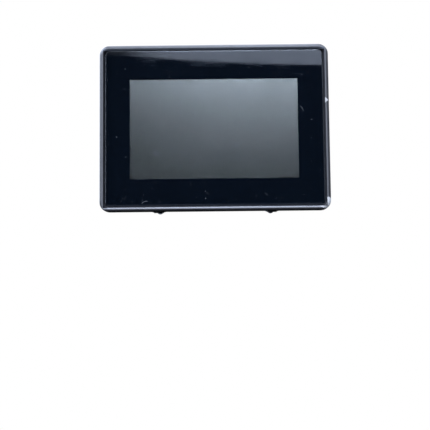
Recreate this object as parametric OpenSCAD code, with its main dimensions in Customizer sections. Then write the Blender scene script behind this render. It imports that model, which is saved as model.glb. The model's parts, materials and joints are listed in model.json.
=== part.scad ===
// Operator touch panel for a machine or a control cabinet, 7 inch wide display.
// The panel is upright: the screen faces -Y, the connectors are behind it, +Z is up.
// The origin is the centre of the cut-out, in the plane where the gasket meets the cabinet wall.

/* [Front] */
// Width of the front bezel
front_w = 208; // [206:1:214]
// Height of the front bezel
front_h = 152; // [150:1:158]
// Outer corner radius of the front bezel
front_r = 9; // [8:0.5:11]
// How far the crest of the rim stands in front of the sealing plane
rim_front = 8.6; // [8.4:0.1:9]
// Width of the rim from the outer edge to the glass
rim_w = 4.7; // [4.5:0.1:5.2]
// Radius of the rim's outer edge
rim_round = 3; // [2:0.25:3.25]
// Thickness of the cover glass
glass_t = 2.1; // [1.8:0.1:2.2]
// Width of the polished bevel round the cover glass
glass_bevel = 1.1; // [0.8:0.1:1.4]

/* [Display] */
// Width of the clear window in the printed border
window_w = 153.4; // [152.6:0.1:154]
// Height of the clear window in the printed border
window_h = 92.4; // [91.6:0.1:93]
// Height of the display's centre above the bezel's centre
display_z = -1; // [-1.5:0.5:1]
// Width of the display module
module_w = 165; // [164:0.5:166]
// Height of the display module
module_h = 104; // [103:0.5:105]

/* [Rear housing] */
// Width of the rear housing, which passes through the cut-out
body_w = 191; // [190:0.5:191.5]
// Height of the rear housing, which passes through the cut-out
body_h = 137; // [136:0.5:137.5]
// Corner radius of the rear housing
body_r = 4; // [3:0.5:5]
// Depth of the whole rear housing behind the sealing plane
body_depth = 42; // [42:0.5:44]
// Depth of the shallow tray that carries the clamps
tray_depth = 16; // [16:0.5:17]
// Wall thickness of the rear housing
wall = 2.2; // [2:0.1:2.4]
// Width of the raised block behind the tray
block_w = 168; // [168:1:170]
// Top edge of the raised block
block_top = 62; // [61:0.5:63]
// Bottom edge of the raised block, the ceiling of the connector bay
block_bottom = -46; // [-46:0.5:-45]
// Chamfer round the rear face of the block
block_chamfer = 3; // [1:0.5:3.5]

/* [Battery door] */
// Width of the battery opening
door_w = 36; // [34:1:38]
// Height of the battery opening
door_h = 38; // [36:1:40]
// Centre of the battery opening across the housing
door_x = 55; // [53:1:56]
// Bottom edge of the battery opening
door_z = 4; // [3:0.5:5]

/* [Panel clamps] */
// Clamp positions across the housing, measured from its centre
clamp_x = 52; // [48:1:54]
// Radius of the clamp screws' thread
clamp_thread_r = 2; // [1.9:0.05:2]
// Rest position of a clamp foot behind the sealing plane
foot_rest = 7; // [6.5:0.5:7]
// Length of a clamp screw under its head
clamp_screw_length = 19; // [17:1:21]

/* [Hidden] */
$fn = 64;
gap = 0.3;                                   // between parts that move past each other
thread_gap = 0.05;                           // round a screw in its hole
cut = 0.01;                                  // how far a cut runs past a face

flange_back = -1;                            // rear face of the bezel's flange
pocket_y = -4.6;                             // floor of the pocket that the glass is bonded into
glass_front = 1.2 - rim_front;               // front face of the glass, behind the crest
glass_back = glass_front + glass_t;
print_t = 0.12;
print_back = glass_back + print_t;
glass_w = front_w - 2 * (rim_w + 0.2);
glass_h = front_h - 2 * (rim_w + 0.2);
glass_r = front_r - rim_w - 0.2;
opening_w = module_w + 3.5;                  // opening in the bezel for the display module
opening_h = module_h + 3.5;

gasket_w = front_w - 10;                     // outer size of the gasket
gasket_h = front_h - 6.4;
gasket_r = 6;
gasket_band = 3.2;
module_front = -4.5;
module_back = 1.3;
skin = 0.4;                                  // sheet thickness of the display module's frame

chassis_y = 5;
chassis_t = 1.2;
chassis_posts = [[-78, -58], [78, -58], [-78, 58], [78, 58]];
tab_z = [-34, 30];
touch_tail_x = -35;                          // where the touch sensor's tail passes the bezel

board_y = 20.4;                              // front face of the main board
board_t = 1.6;
board_back = board_y + board_t;
board_x = [-80, 80];
board_z = [-43, 56];
board_holes = [[-76, 50], [76, 50], [2, 50], [-76, -27], [76, -27], [45, -39]];

cover_holes = [for (x = [-89.5, 89.5], z = [-58, 0, 58]) [x, z]];
screw_seat_y = 13.6;                         // bottom of the cover screws' counterbores
post_y = 3.9;                                // where the bezel's and the cover's posts meet

port_z = block_bottom - 0.2;                 // outer face of the downward connectors
ethernet_x = -14;
usb_device_x = -40;
power_x = -70;
power_pitch = 5.08;
serial_x = 25;
serial_y = board_back + 6.65;
serial_pitch = 25;                           // between the serial port's jack posts
side_x = -block_w / 2;                       // left side of the raised block
usb_host_z = 25;
card_z = -9;

hinge_y = body_depth - 1;
hinge_z = door_z + door_h - 2.8;
hinge_pin_r = 0.8;
ear_len = 3;
battery_z = 21;
light_x = [36, 44, 52];
light_z = -16;
reset_x = 66;
label_x = -37;
label_z = 8;
label_w = 66;
label_h = 38;
earth_x = 72;
earth_z = -57;
earth_shank_r = 1.6;                         // core of the earth stud, inside the wall and the nut
nut_t = 3.2;

clamp_z = body_h / 2 + 4;                    // height of the clamp screws' axis
clamp_places = [[-clamp_x, 1], [clamp_x, 1], [-clamp_x, -1], [clamp_x, -1]];
foot_r = 3.2;
foot_t = 3;

// ---------- helpers ----------

// A rectangle with round corners, centred
module rounded_rect(w, h, r) {
    square([w - 2 * r, h], center = true);
    square([w, h - 2 * r], center = true);
    for (sx = [-1, 1], sy = [-1, 1])
        translate([sx * (w / 2 - r), sy * (h / 2 - r)])
            circle(r);
}

// A drawing of X and Z, made solid from depth y0 to depth y1
module slab(y0, y1) {
    translate([0, y1, 0])
        rotate([90, 0, 0])
            linear_extrude(y1 - y0)
                children();
}

// A box given by its lowest and highest corners
module box(low, high) {
    translate(low)
        cube(high - low);
}

// A round bar along the depth, at x and z
module post(x, z, y0, y1, r) {
    translate([x, y1, z])
        rotate([90, 0, 0])
            cylinder(r = r, h = y1 - y0);
}

// A frame round a rectangle. The profile is drawn as [distance from the corner's centre,
// distance in front of the sealing plane], and turned through each corner.
module sweep_round(w, h, r) {
    run_x = w - 2 * r;
    run_z = h - 2 * r;
    rotate([90, 0, 0]) {
        for (turn = [0, 180])
            rotate([0, 0, turn]) {
                translate([-run_x / 2, run_z / 2, 0])
                    rotate([90, 0, 90])
                        linear_extrude(run_x)
                            children();
                translate([run_x / 2, run_z / 2, 0])
                    rotate([90, 0, 0])
                        linear_extrude(run_z)
                            children();
            }
        for (corner = [0 : 3])
            rotate([0, 0, 90 * corner])
                translate([(corner % 2 == 0 ? run_x : run_z) / 2, (corner % 2 == 0 ? run_z : run_x) / 2, 0])
                    rotate_extrude(angle = 90)
                        children();
    }
}

// A long hole with round ends, standing upright
module upright_slot(w, h) {
    square([w, h - w], center = true);
    for (end = [-1, 1])
        translate([0, end * (h - w) / 2])
            circle(w / 2, $fn = 24);
}

// A pan head screw along the depth, with its head at the back
module pan_screw(x, z, seat_y, shank_r, length, head_r, head_h) {
    difference() {
        union() {
            post(x, z, seat_y - length, seat_y, shank_r);
            post(x, z, seat_y, seat_y + head_h - 0.4, head_r);
            translate([x, seat_y + head_h - 0.4, z])
                rotate([-90, 0, 0])
                    cylinder(r1 = head_r, r2 = head_r - 0.4, h = 0.4);
        }
        for (turn = [0, 90])
            translate([x, seat_y + head_h, z])
                rotate([0, turn, 0])
                    cube([head_r * 1.2, head_h * 1.1, 0.5], center = true);
    }
}

// A flat flexible tail: back from y0 at height z0 to depth y1, up to z1, and back to the board
module flat_tail(width, y0, z0, y1, z1) {
    t = 0.25;
    end = board_y - 0.1;
    rotate([90, 0, 90])
        translate([0, 0, -width / 2])
            linear_extrude(width)
                polygon([[y0, z0], [y1, z0], [y1, z1 - t], [end, z1 - t], [end, z1], [y1 - t, z1],
                    [y1 - t, z0 + t], [y0, z0 + t]]);
}

// A block with round upright edges and a chamfer round its rear face
module raised_block(x_half, z0, z1, y0, y1, r, chamfer) {
    z_mid = (z0 + z1) / 2;
    intersection() {
        slab(y0, y1)
            translate([0, z_mid])
                rounded_rect(2 * x_half, z1 - z0, r);
        rotate([90, 0, 90])
            translate([0, 0, -x_half])
                linear_extrude(2 * x_half)
                    polygon([[y0, z0], [y1 - chamfer, z0], [y1, z0 + chamfer],
                        [y1, z1 - chamfer], [y1 - chamfer, z1], [y0, z1]]);
        translate([0, 0, z0])
            linear_extrude(z1 - z0)
                polygon([[-x_half, y0], [x_half, y0], [x_half, y1 - chamfer],
                    [x_half - chamfer, y1], [chamfer - x_half, y1], [-x_half, y1 - chamfer]]);
    }
}

// ---------- front ----------

// Section through the rim: round outside, a flat crest, and a slope down to the glass
module rim_section() {
    inner = front_r - rim_w;
    crest = front_r - rim_round;
    intersection() {
        translate([crest, rim_front - rim_round])
            circle(rim_round, $fn = 96);
        translate([crest, rim_front - rim_round])
            square([rim_round, rim_round]);
    }
    translate([crest - cut, -flange_back])
        square([rim_round + cut, rim_front - rim_round + flange_back + cut]);
    polygon([[inner, -flange_back], [crest, -flange_back], [crest, rim_front],
        [crest - 0.4, rim_front], [inner, -glass_front]]);
}

// Cast front frame that carries the glass, the display and the chassis
module front_bezel() {
    color([0.05, 0.05, 0.055])
        difference() {
            union() {
                sweep_round(front_w, front_h, front_r)
                    rim_section();
                slab(pocket_y, flange_back)
                    rounded_rect(front_w - 2 * rim_w + 3, front_h - 2 * rim_w + 3, front_r - rim_w + 1.5);
                // rib that centres the rear cover
                slab(flange_back - cut, 2)
                    difference() {
                        rounded_rect(body_w - 2 * wall - 0.6, body_h - 2 * wall - 0.6, body_r - 1);
                        rounded_rect(body_w - 2 * wall - 4.2, body_h - 2 * wall - 4.2, body_r - 2);
                    }
                for (p = chassis_posts)
                    post(p[0], p[1], flange_back - cut, chassis_y, 3);
                for (p = cover_holes)
                    post(p[0], p[1], flange_back - cut, post_y, 3);
            }
            slab(pocket_y - cut, flange_back + cut)
                translate([0, display_z])
                    rounded_rect(opening_w, opening_h, 1.5);
            // groove for the gasket
            slab(flange_back - 1, flange_back + cut)
                difference() {
                    rounded_rect(gasket_w + 0.1, gasket_h + 0.1, gasket_r);
                    rounded_rect(gasket_w - 2 * gasket_band - 0.1, gasket_h - 2 * gasket_band - 0.1,
                        gasket_r - gasket_band);
                }
            // slot for the touch sensor's flexible tail
            box([touch_tail_x - 9, pocket_y - cut, -59.5], [touch_tail_x + 9, flange_back + cut, -57.3]);
            for (p = chassis_posts)
                post(p[0], p[1], -0.5, chassis_y + cut, 1.25 + thread_gap);
            for (p = cover_holes)
                post(p[0], p[1], -0.6, post_y + cut, 1.5 + thread_gap);
            for (x = [-86, 86], z = tab_z)
                post(x, z, -3.8, flange_back + cut, 1 + thread_gap);
        }
}

// Ring that seals the panel against the cabinet wall
module panel_gasket() {
    color([0.12, 0.12, 0.12])
        slab(flange_back - 1, 0)
            difference() {
                rounded_rect(gasket_w, gasket_h, gasket_r);
                rounded_rect(gasket_w - 2 * gasket_band, gasket_h - 2 * gasket_band, gasket_r - gasket_band);
            }
}

// Toughened glass with a polished bevel
module cover_glass() {
    color([0.55, 0.62, 0.66, 0.35]) {
        sweep_round(glass_w, glass_h, glass_r)
            polygon([[0, -glass_back], [glass_r, -glass_back], [glass_r, -glass_front - glass_bevel / 2],
                [glass_r - glass_bevel, -glass_front], [0, -glass_front]]);
        slab(glass_front, glass_back)
            square([glass_w - 2 * glass_r, glass_h - 2 * glass_r], center = true);
    }
}

// Black ink border on the back of the glass
module printed_border() {
    color([0.01, 0.012, 0.015])
        slab(glass_back, print_back)
            difference() {
                rounded_rect(glass_w - 0.6, glass_h - 0.6, glass_r - 0.3);
                translate([0, display_z])
                    rounded_rect(window_w, window_h, 0.6);
            }
}

// Adhesive ring that bonds the glass into the bezel
module glass_tape() {
    color([0.03, 0.03, 0.03])
        slab(print_back, pocket_y)
            difference() {
                rounded_rect(glass_w - 1.4, glass_h - 1.4, glass_r - 0.7);
                rounded_rect(180, 120, 2);
            }
}

// Clear capacitive sensor behind the glass
module touch_sensor() {
    color([0.6, 0.7, 0.75, 0.3])
        slab(print_back, pocket_y - 0.1)
            rounded_rect(178, 118, 1);
}

// Flexible tail from the touch sensor to the main board
module touch_flex() {
    color([0.75, 0.45, 0.12])
        translate([touch_tail_x, 0, 0])
            flat_tail(14, pocket_y, -58.5, 10, -32);
}

// ---------- display ----------

// Pressed steel frame of the display module
module lcd_frame() {
    color([0.72, 0.73, 0.74])
        difference() {
            union() {
                slab(module_front, module_back)
                    translate([0, display_z])
                        rounded_rect(module_w, module_h, 1);
                for (side = [-1, 1], z = tab_z)
                    slab(flange_back, flange_back + skin)
                        translate([side * (module_w / 2 + 2.8), z])
                            square([6.4, 7], center = true);
            }
            slab(module_front + skin, module_back - skin)
                translate([0, display_z])
                    square([module_w - 2 * skin, module_h - 2 * skin], center = true);
            slab(module_front - cut, module_front + skin + cut)
                translate([0, display_z])
                    square([window_w + 2, window_h + 2], center = true);
            // slot for the display's flexible tail
            box([-16, module_back - skin - cut, display_z - 49], [16, module_back + cut, display_z - 47]);
            for (x = [-86, 86], z = tab_z)
                post(x, z, flange_back - cut, flange_back + skin + cut, 1.1);
        }
}

// Liquid crystal cell between its two glass plates
module lcd_cell() {
    color([0.16, 0.17, 0.18])
        slab(-4, -2.4)
            translate([0, display_z])
                square([module_w - 1.4, module_h - 1.4], center = true);
}

// Diffuser and prism films
module optical_films() {
    color([0.92, 0.93, 0.93])
        slab(-2.3, -1.8)
            translate([0, display_z])
                square([module_w - 2, module_h - 2], center = true);
}

// Clear plate that spreads the backlight
module light_guide() {
    color([0.85, 0.9, 0.92])
        slab(-1.7, 0.7)
            translate([0, display_z + 2.5])
                square([module_w - 2, module_h - 7], center = true);
}

// Strip of light emitting diodes along the guide's bottom edge
module backlight_strip() {
    bottom = display_z - module_h / 2 + 1;
    color([0.9, 0.88, 0.6]) {
        box([-76, -1.7, bottom], [76, -1, bottom + 3.6]);
        for (i = [-9 : 9])
            box([8 * i - 1.6, -1.05, bottom + 1.4], [8 * i + 1.6, 0.1, bottom + 3.6]);
    }
}

// Flexible tail from the display to the main board
module lcd_flex() {
    color([0.78, 0.5, 0.15])
        flat_tail(28, module_back - skin - 0.15, display_z - 48, 12, -36);
}

// Screws that hold the display module's tabs to the bezel
module display_screws() {
    color([0.75, 0.75, 0.76])
        for (x = [-86, 86], z = tab_z)
            pan_screw(x, z, flange_back + skin, 1, 2.8, 1.9, 1.2);
}

// ---------- chassis and board ----------

// Sheet steel plate behind the display, which carries the board
module chassis_plate() {
    color([0.7, 0.71, 0.72])
        difference() {
            slab(chassis_y, chassis_y + chassis_t)
                rounded_rect(168, 126, 4);
            for (p = chassis_posts)
                post(p[0], p[1], chassis_y - cut, chassis_y + chassis_t + cut, 1.5);
            for (p = board_holes)
                post(p[0], p[1], chassis_y - cut, chassis_y + chassis_t + cut, 1.5);
            box([-16, chassis_y - cut, -50.5], [16, chassis_y + chassis_t + cut, -46.5]);
            box([touch_tail_x - 9, chassis_y - cut, -60],
                [touch_tail_x + 9, chassis_y + chassis_t + cut, -57]);
            for (x = [-52, 52])
                slab(chassis_y - cut, chassis_y + chassis_t + cut)
                    translate([x, 0])
                        rounded_rect(30, 60, 5);
        }
}

// Screws that hold the chassis plate to the bezel's posts
module chassis_screws() {
    color([0.75, 0.75, 0.76])
        for (p = chassis_posts)
            pan_screw(p[0], p[1], chassis_y + chassis_t, 1.25, 6, 2.5, 1.6);
}

// Hexagonal spacers between the chassis plate and the board
module board_spacers() {
    front = chassis_y + chassis_t;
    color([0.8, 0.68, 0.35])
        for (p = board_holes)
            difference() {
                union() {
                    translate([p[0], board_y, p[1]])
                        rotate([90, 0, 0])
                            cylinder(r = 2.9, h = board_y - front, $fn = 6);
                    post(p[0], p[1], chassis_y - 1.6, front + cut, 1.45);
                }
                post(p[0], p[1], board_y - 7, board_y + cut, 1.25 + thread_gap);
            }
}

// Screws that hold the main board to its spacers
module board_screws() {
    color([0.75, 0.75, 0.76])
        for (p = board_holes)
            pan_screw(p[0], p[1], board_back, 1.25, 7, 2.5, 1.6);
}

// Printed circuit board
module main_board() {
    color([0.05, 0.3, 0.16])
        difference() {
            box([board_x[0], board_y, board_z[0]], [board_x[1], board_back, board_z[1]]);
            for (p = board_holes)
                post(p[0], p[1], board_y - cut, board_back + cut, 1.5);
        }
}

// Main processor package
module processor() {
    color([0.1, 0.1, 0.1])
        box([-29, board_back, 6], [-12, board_back + 1.3, 23]);
}

// Finned heat sink on the processor
module heat_sink() {
    fin_pitch = 4.2;
    color([0.3, 0.31, 0.33]) {
        box([-36, board_back + 1.4, -1], [-5, board_back + 3.4, 30]);
        for (i = [0 : 7])
            translate([-36 + i * fin_pitch, board_back + 3.4 - cut, -1])
                cube([1.6, 8, 31]);
    }
}

// Memory packages beside the processor
module memory_chips() {
    color([0.09, 0.09, 0.1]) {
        for (z = [0, 13])
            box([-52, board_back, z], [-41, board_back + 1.1, z + 10]);
        box([2, board_back, 8], [14, board_back + 1.1, 28]);
    }
}

// Shielded inductors of the power supply
module power_inductors() {
    color([0.25, 0.25, 0.27])
        for (x = [-64, -50])
            slab(board_back, board_back + 4.5)
                translate([x, 44])
                    rounded_rect(10, 10, 2);
}

// Electrolytic capacitors of the power supply
module capacitors() {
    color([0.2, 0.22, 0.3])
        for (x = [-30, -20, -10, 0])
            post(x, -14, board_back, board_back + 10, 4);
}

// Small sounder that confirms each touch
module buzzer() {
    color([0.08, 0.08, 0.08])
        difference() {
            post(20, -18, board_back, board_back + 6, 6);
            post(20, -18, board_back + 2, board_back + 6 + cut, 1.2);
        }
}

// Holder of the clock's backup cell
module battery_holder() {
    color([0.12, 0.12, 0.13])
        difference() {
            union() {
                post(door_x, battery_z, board_back, board_back + 5.2, 11.6);
                box([door_x - 13.5, board_back, battery_z - 4],
                    [door_x + 13.5, board_back + 4, battery_z + 4]);
            }
            post(door_x, battery_z, board_back + 1.6, board_back + 5.2 + cut, 10.15);
            box([door_x - 4, board_back + 1.6, battery_z - 12], [door_x + 4, board_back + 6, battery_z - 6]);
        }
}

// Coin cell that keeps the clock running
module backup_battery() {
    color([0.8, 0.81, 0.82])
        post(door_x, battery_z, board_back + 1.7, board_back + 4.9, 10);
}

// ---------- connectors ----------

// Socket half of the power connector
module power_header() {
    back = board_back + 10;
    color([0.1, 0.32, 0.14])
        difference() {
            box([power_x - 8.9, board_back, port_z], [power_x + 8.9, back, port_z + 12]);
            box([power_x - 7.9, board_back + 1, port_z - cut], [power_x + 7.9, back - 0.8, port_z + 10.6]);
        }
}

// Pins of the power connector
module power_pins() {
    color([0.85, 0.82, 0.7])
        for (i = [-1 : 1])
            box([power_x + i * power_pitch - 0.45, board_back + 4.75, port_z + 3],
                [power_x + i * power_pitch + 0.45, board_back + 5.65, port_z + 10.6]);
}

// Plug half of the power connector, with three screw terminals
module power_plug() {
    low = port_z - 10.6;
    color([0.12, 0.42, 0.18])
        difference() {
            union() {
                box([power_x - 7.6, board_back + 1.4, port_z - cut - 0.4],
                    [power_x + 7.6, board_back + 8.8, port_z + 9.8]);
                box([power_x - 7.62, board_back - 0.5, low], [power_x + 7.62, board_back + 12, port_z - 0.4]);
            }
            for (i = [-1 : 1]) {
                translate([power_x + i * power_pitch, board_back + 5.2, port_z + 5])
                    cube([1.5, 1.5, 11], center = true);
                translate([power_x + i * power_pitch, board_back + 3.6, low - cut])
                    cylinder(r = 1.4, h = 8);
                post(power_x + i * power_pitch, low + 5.2, board_back + 7, board_back + 12 + cut, 1.95);
            }
            for (side = [-1, 1])
                box([power_x + side * 7.62 - 0.5, board_back + 2, low + 1],
                    [power_x + side * 7.62 + 0.5, board_back + 10, low + 6]);
        }
}

// Screws that clamp the wires in the power plug
module terminal_screws() {
    color([0.78, 0.78, 0.75])
        for (i = [-1 : 1])
            difference() {
                post(power_x + i * power_pitch, port_z - 5.4, board_back + 7.1, board_back + 11.2, 1.85);
                box([power_x + i * power_pitch - 1.6, board_back + 10.4, port_z - 5.7],
                    [power_x + i * power_pitch + 1.6, board_back + 11.3, port_z - 5.1]);
            }
}

// Network socket
module ethernet_jack() {
    color([0.75, 0.76, 0.77])
        difference() {
            box([ethernet_x - 8, board_back, port_z], [ethernet_x + 8, board_back + 13.4, port_z + 21]);
            box([ethernet_x - 5.95, board_back + 2, port_z - cut],
                [ethernet_x + 5.95, board_back + 9.6, port_z + 12]);
            box([ethernet_x - 3.2, board_back + 9, port_z - cut],
                [ethernet_x + 3.2, board_back + 11.4, port_z + 12]);
        }
}

// Eight sprung contacts of the network socket
module ethernet_contacts() {
    color([0.85, 0.68, 0.25])
        for (i = [0 : 7])
            box([ethernet_x - 3.8 + i * 1.02, board_back + 2.05, port_z + 2],
                [ethernet_x - 3.35 + i * 1.02, board_back + 2.7, port_z + 11.5]);
}

// Outline of the serial connector's shell: narrower along one side, with round corners
module serial_outline(inset) {
    half_w = 8.4 - inset;
    half_h = 4.2 - inset;
    slant = 1.4;
    intersection() {
        rounded_rect(2 * half_w, 2 * half_h, 1.6 - inset / 2);
        polygon([[-half_w, half_h], [half_w, half_h], [half_w - slant, -half_h], [slant - half_w, -half_h]]);
    }
}

// Steel flange and shell of the serial connector
module serial_port() {
    color([0.78, 0.78, 0.76])
        difference() {
            union() {
                translate([serial_x, serial_y, port_z - 0.9])
                    linear_extrude(0.8)
                        rounded_rect(30.8, 12.5, 2);
                translate([serial_x, serial_y, port_z - 6.4])
                    linear_extrude(5.6)
                        serial_outline(0);
            }
            translate([serial_x, serial_y, port_z - 6.5])
                linear_extrude(7)
                    serial_outline(0.4);
            for (side = [-1, 1])
                translate([serial_x + side * serial_pitch / 2, serial_y, port_z - 1])
                    cylinder(r = 1.6, h = 2);
        }
}

// Insulator of the serial connector, with nine contact holes
module serial_insert() {
    color([0.1, 0.14, 0.3])
        difference() {
            union() {
                translate([serial_x, serial_y, port_z - 6])
                    linear_extrude(6.4)
                        serial_outline(0.45);
                box([serial_x - 9.6, board_back, port_z + 0.2], [serial_x + 9.6, serial_y + 6, port_z + 12]);
            }
            for (i = [0 : 4])
                translate([serial_x + (i - 2) * 2.77, serial_y + 1.42, port_z - 6 - cut])
                    cylinder(r = 0.55, h = 4.5, $fn = 24);
            for (i = [0 : 3])
                translate([serial_x + (i - 1.5) * 2.77, serial_y - 1.42, port_z - 6 - cut])
                    cylinder(r = 0.55, h = 4.5, $fn = 24);
        }
}

// Threaded posts that a serial plug screws into
module jack_posts() {
    color([0.82, 0.82, 0.8])
        for (side = [-1, 1])
            translate([serial_x + side * serial_pitch / 2, serial_y, port_z - 5.9])
                difference() {
                    union() {
                        cylinder(r = 2.7, h = 5, $fn = 6);
                        translate([0, 0, 5 - cut])
                            cylinder(r = 1.5, h = 4);
                    }
                    translate([0, 0, -cut])
                        cylinder(r = 1.42, h = 4.5);
                }
}

// Socket for a memory stick or a keyboard, on the left side
module usb_host_port() {
    low = board_back + 0.2;
    color([0.77, 0.78, 0.79])
        difference() {
            box([side_x - 0.2, low, usb_host_z - 6.6], [side_x + 14, low + 5.9, usb_host_z + 6.6]);
            box([side_x - 0.3, low + 0.4, usb_host_z - 6.2], [side_x + 13, low + 5.5, usb_host_z + 6.2]);
        }
}

// Socket for a computer's programming lead, underneath
module usb_device_port() {
    color([0.77, 0.78, 0.79])
        difference() {
            box([usb_device_x - 6, board_back, port_z], [usb_device_x + 6, board_back + 11, port_z + 16]);
            translate([usb_device_x, board_back + 5.5, port_z - cut])
                linear_extrude(14)
                    polygon([[-4.25, -3.9], [4.25, -3.9], [4.25, 2.2], [2.6, 3.9],
                        [-2.6, 3.9], [-4.25, 2.2]]);
        }
}

// Plastic tongues that carry the contacts of both sockets
module usb_tongues() {
    low = board_back + 0.6;
    color([0.93, 0.93, 0.92]) {
        box([side_x + 1, low + 0.6, usb_host_z - 5.5], [side_x + 13, low + 2.4, usb_host_z + 5.5]);
        box([usb_device_x - 2.8, board_back + 4, port_z + 1.2],
            [usb_device_x + 2.8, board_back + 7, port_z + 14 - cut]);
    }
}

// Sheet metal socket of the memory card
module card_socket() {
    color([0.76, 0.77, 0.78])
        difference() {
            box([side_x + 2.4, board_back, card_z - 14.2], [side_x + 31, board_back + 4.2, card_z + 14.2]);
            box([side_x + 2.3, board_back + 0.8, card_z - 12.3],
                [side_x + 30, board_back + 3.6, card_z + 12.3]);
        }
}

// Memory card with a clipped corner
module memory_card() {
    front = side_x - 2.6;
    color([0.08, 0.12, 0.3])
        difference() {
            translate([0, board_back + 1.15, 0])
                rotate([-90, 0, 0])
                    linear_extrude(2.1)
                        polygon([[front, -card_z - 12], [front + 32, -card_z - 12], [front + 32, -card_z + 8],
                            [front + 28, -card_z + 12], [front, -card_z + 12]]);
            // thumb groove
            box([front + 1.2, board_back + 2.95, card_z - 7], [front + 2.2, board_back + 3.5, card_z + 7]);
        }
}

// Light pipes of the status lights
module status_lights() {
    color([0.85, 0.95, 0.88])
        for (x = light_x) {
            post(x, light_z, board_back + 2, body_depth + 0.1, 1.25);
            post(x, light_z, board_back + 10, body_depth - wall - 0.1, 1.9);
        }
}

// Push switch under the reset button
module reset_switch() {
    color([0.15, 0.15, 0.15]) {
        box([reset_x - 3, board_back, light_z - 3], [reset_x + 3, board_back + 3.4, light_z + 3]);
        post(reset_x, light_z, board_back + 3.3, board_back + 4, 1.6);
    }
}

// Long reset button, recessed so that a pen tip has to press it
module reset_button() {
    color([0.75, 0.12, 0.1]) {
        post(reset_x, light_z, board_back + 4.5, body_depth - 0.6, 1.55);
        post(reset_x, light_z, body_depth - 12.4, body_depth - 11.2, 2.6);
    }
}

// ---------- rear housing ----------

// Outer form of the rear housing
module cover_outside() {
    slab(flange_back, tray_depth)
        rounded_rect(body_w, body_h, body_r);
    raised_block(block_w / 2, block_bottom, block_top, tray_depth - 1, body_depth, 5, block_chamfer);
}

// Hollow of the rear housing
module cover_inside() {
    slab(flange_back - cut, tray_depth - wall)
        rounded_rect(body_w - 2 * wall, body_h - 2 * wall, body_r - 1.5);
    raised_block(block_w / 2 - wall, block_bottom + wall, block_top - wall, tray_depth - wall - 1,
        body_depth - wall, 3.5, 1);
}

// Vent slots of the rear housing
module cover_vents() {
    for (i = [0 : 17])
        translate([-74 + 6 * i, body_depth, 49])
            rotate([90, 0, 0])
                linear_extrude(2 * wall, center = true)
                    upright_slot(2.2, 13);
    for (i = [0 : 17])
        translate([-74 + 6 * i, body_depth, -32])
            rotate([90, 0, 0])
                linear_extrude(2 * wall, center = true)
                    upright_slot(2.2, 13);
    for (i = [0 : 24])
        translate([-72 + 6 * i, 30, block_top])
            linear_extrude(2 * wall, center = true)
                upright_slot(2.2, 13);
}

// Cut-outs for the connectors, the card and the clamps
module cover_ports() {
    wall_z = [port_z - 1, block_bottom + wall + 1];
    // each connector: its place, half its width and its height over the board
    sizes = [[power_x, 9.2, 10.3], [usb_device_x, 6.3, 11.3],
        [ethernet_x, 8.3, 13.7], [serial_x, 9.9, 12.95]];
    for (p = sizes)
        box([p[0] - p[1], board_back - 0.3, wall_z[0]], [p[0] + p[1], board_back + p[2], wall_z[1]]);
    for (side = [-1, 1])
        translate([serial_x + side * serial_pitch / 2, serial_y, wall_z[0]])
            cylinder(r = 1.7, h = 2 * wall);
    inner_x = side_x + wall + 1;
    box([side_x - 1, board_back - 0.1, usb_host_z - 6.9], [inner_x, board_back + 6.4, usb_host_z + 6.9]);
    box([side_x - 1, board_back + 0.6, card_z - 12.6], [inner_x, board_back + 3.8, card_z + 12.6]);
    // thumb recess over the card slot
    box([side_x - 1, board_back - 3, card_z - 7], [side_x + 1, board_back + 7.5, card_z + 7]);
    for (p = clamp_places)
        translate([p[0], 0, p[1] * (body_h - wall) / 2])
            box([-4.2, 10.6, -wall], [4.2, 13.3, wall]);
}

// Moulded rear housing with its vents, screw posts and hinge ears
module rear_cover() {
    color([0.2, 0.205, 0.21])
        difference() {
            union() {
                difference() {
                    cover_outside();
                    cover_inside();
                }
                for (p = cover_holes)
                    post(p[0], p[1], post_y + 0.1, tray_depth - 1, 3.4);
                // guide tube of the reset button
                post(reset_x, light_z, body_depth - 11, body_depth - wall + 0.5, 3.4);
                for (side = [-1, 1])
                    translate([door_x + side * (door_w / 2), hinge_y, hinge_z])
                        rotate([0, 90, 0])
                            cylinder(r = 2.6, h = 2 * ear_len, center = true);
            }
            cover_vents();
            cover_ports();
            for (p = cover_holes) {
                post(p[0], p[1], post_y, tray_depth, 1.65);
                post(p[0], p[1], screw_seat_y, tray_depth + cut, 3);
            }
            // battery opening, cut back at its top between the hinge ears
            box([door_x - door_w / 2, body_depth - wall - 4, door_z],
                [door_x + door_w / 2, body_depth + 1, hinge_z - 3]);
            box([door_x - door_w / 2 + ear_len, body_depth - wall - 4, door_z],
                [door_x + door_w / 2 - ear_len, body_depth + 3, door_z + door_h]);
            translate([door_x, hinge_y, hinge_z])
                rotate([0, 90, 0])
                    cylinder(r = hinge_pin_r + 0.02, h = door_w + 2 * ear_len - 1, center = true);
            // thumb recess under the door
            post(door_x, door_z, body_depth - 1.2, body_depth + cut, 7);
            for (x = light_x)
                post(x, light_z, body_depth - wall - cut, body_depth + cut, 1.25 + thread_gap);
            post(reset_x, light_z, body_depth - 12, body_depth + cut, 1.55 + thread_gap);
            slab(body_depth - 0.3, body_depth + cut)
                translate([label_x, label_z])
                    rounded_rect(label_w + 0.4, label_h + 0.4, 1.7);
            post(earth_x, earth_z, tray_depth - wall - cut, tray_depth + cut, earth_shank_r + thread_gap);
        }
}

// Screws that hold the rear cover to the bezel
module cover_screws() {
    color([0.72, 0.72, 0.73])
        for (p = cover_holes)
            pan_screw(p[0], p[1], screw_seat_y, 1.5, 13.6, 2.7, 1.9);
}

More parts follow.
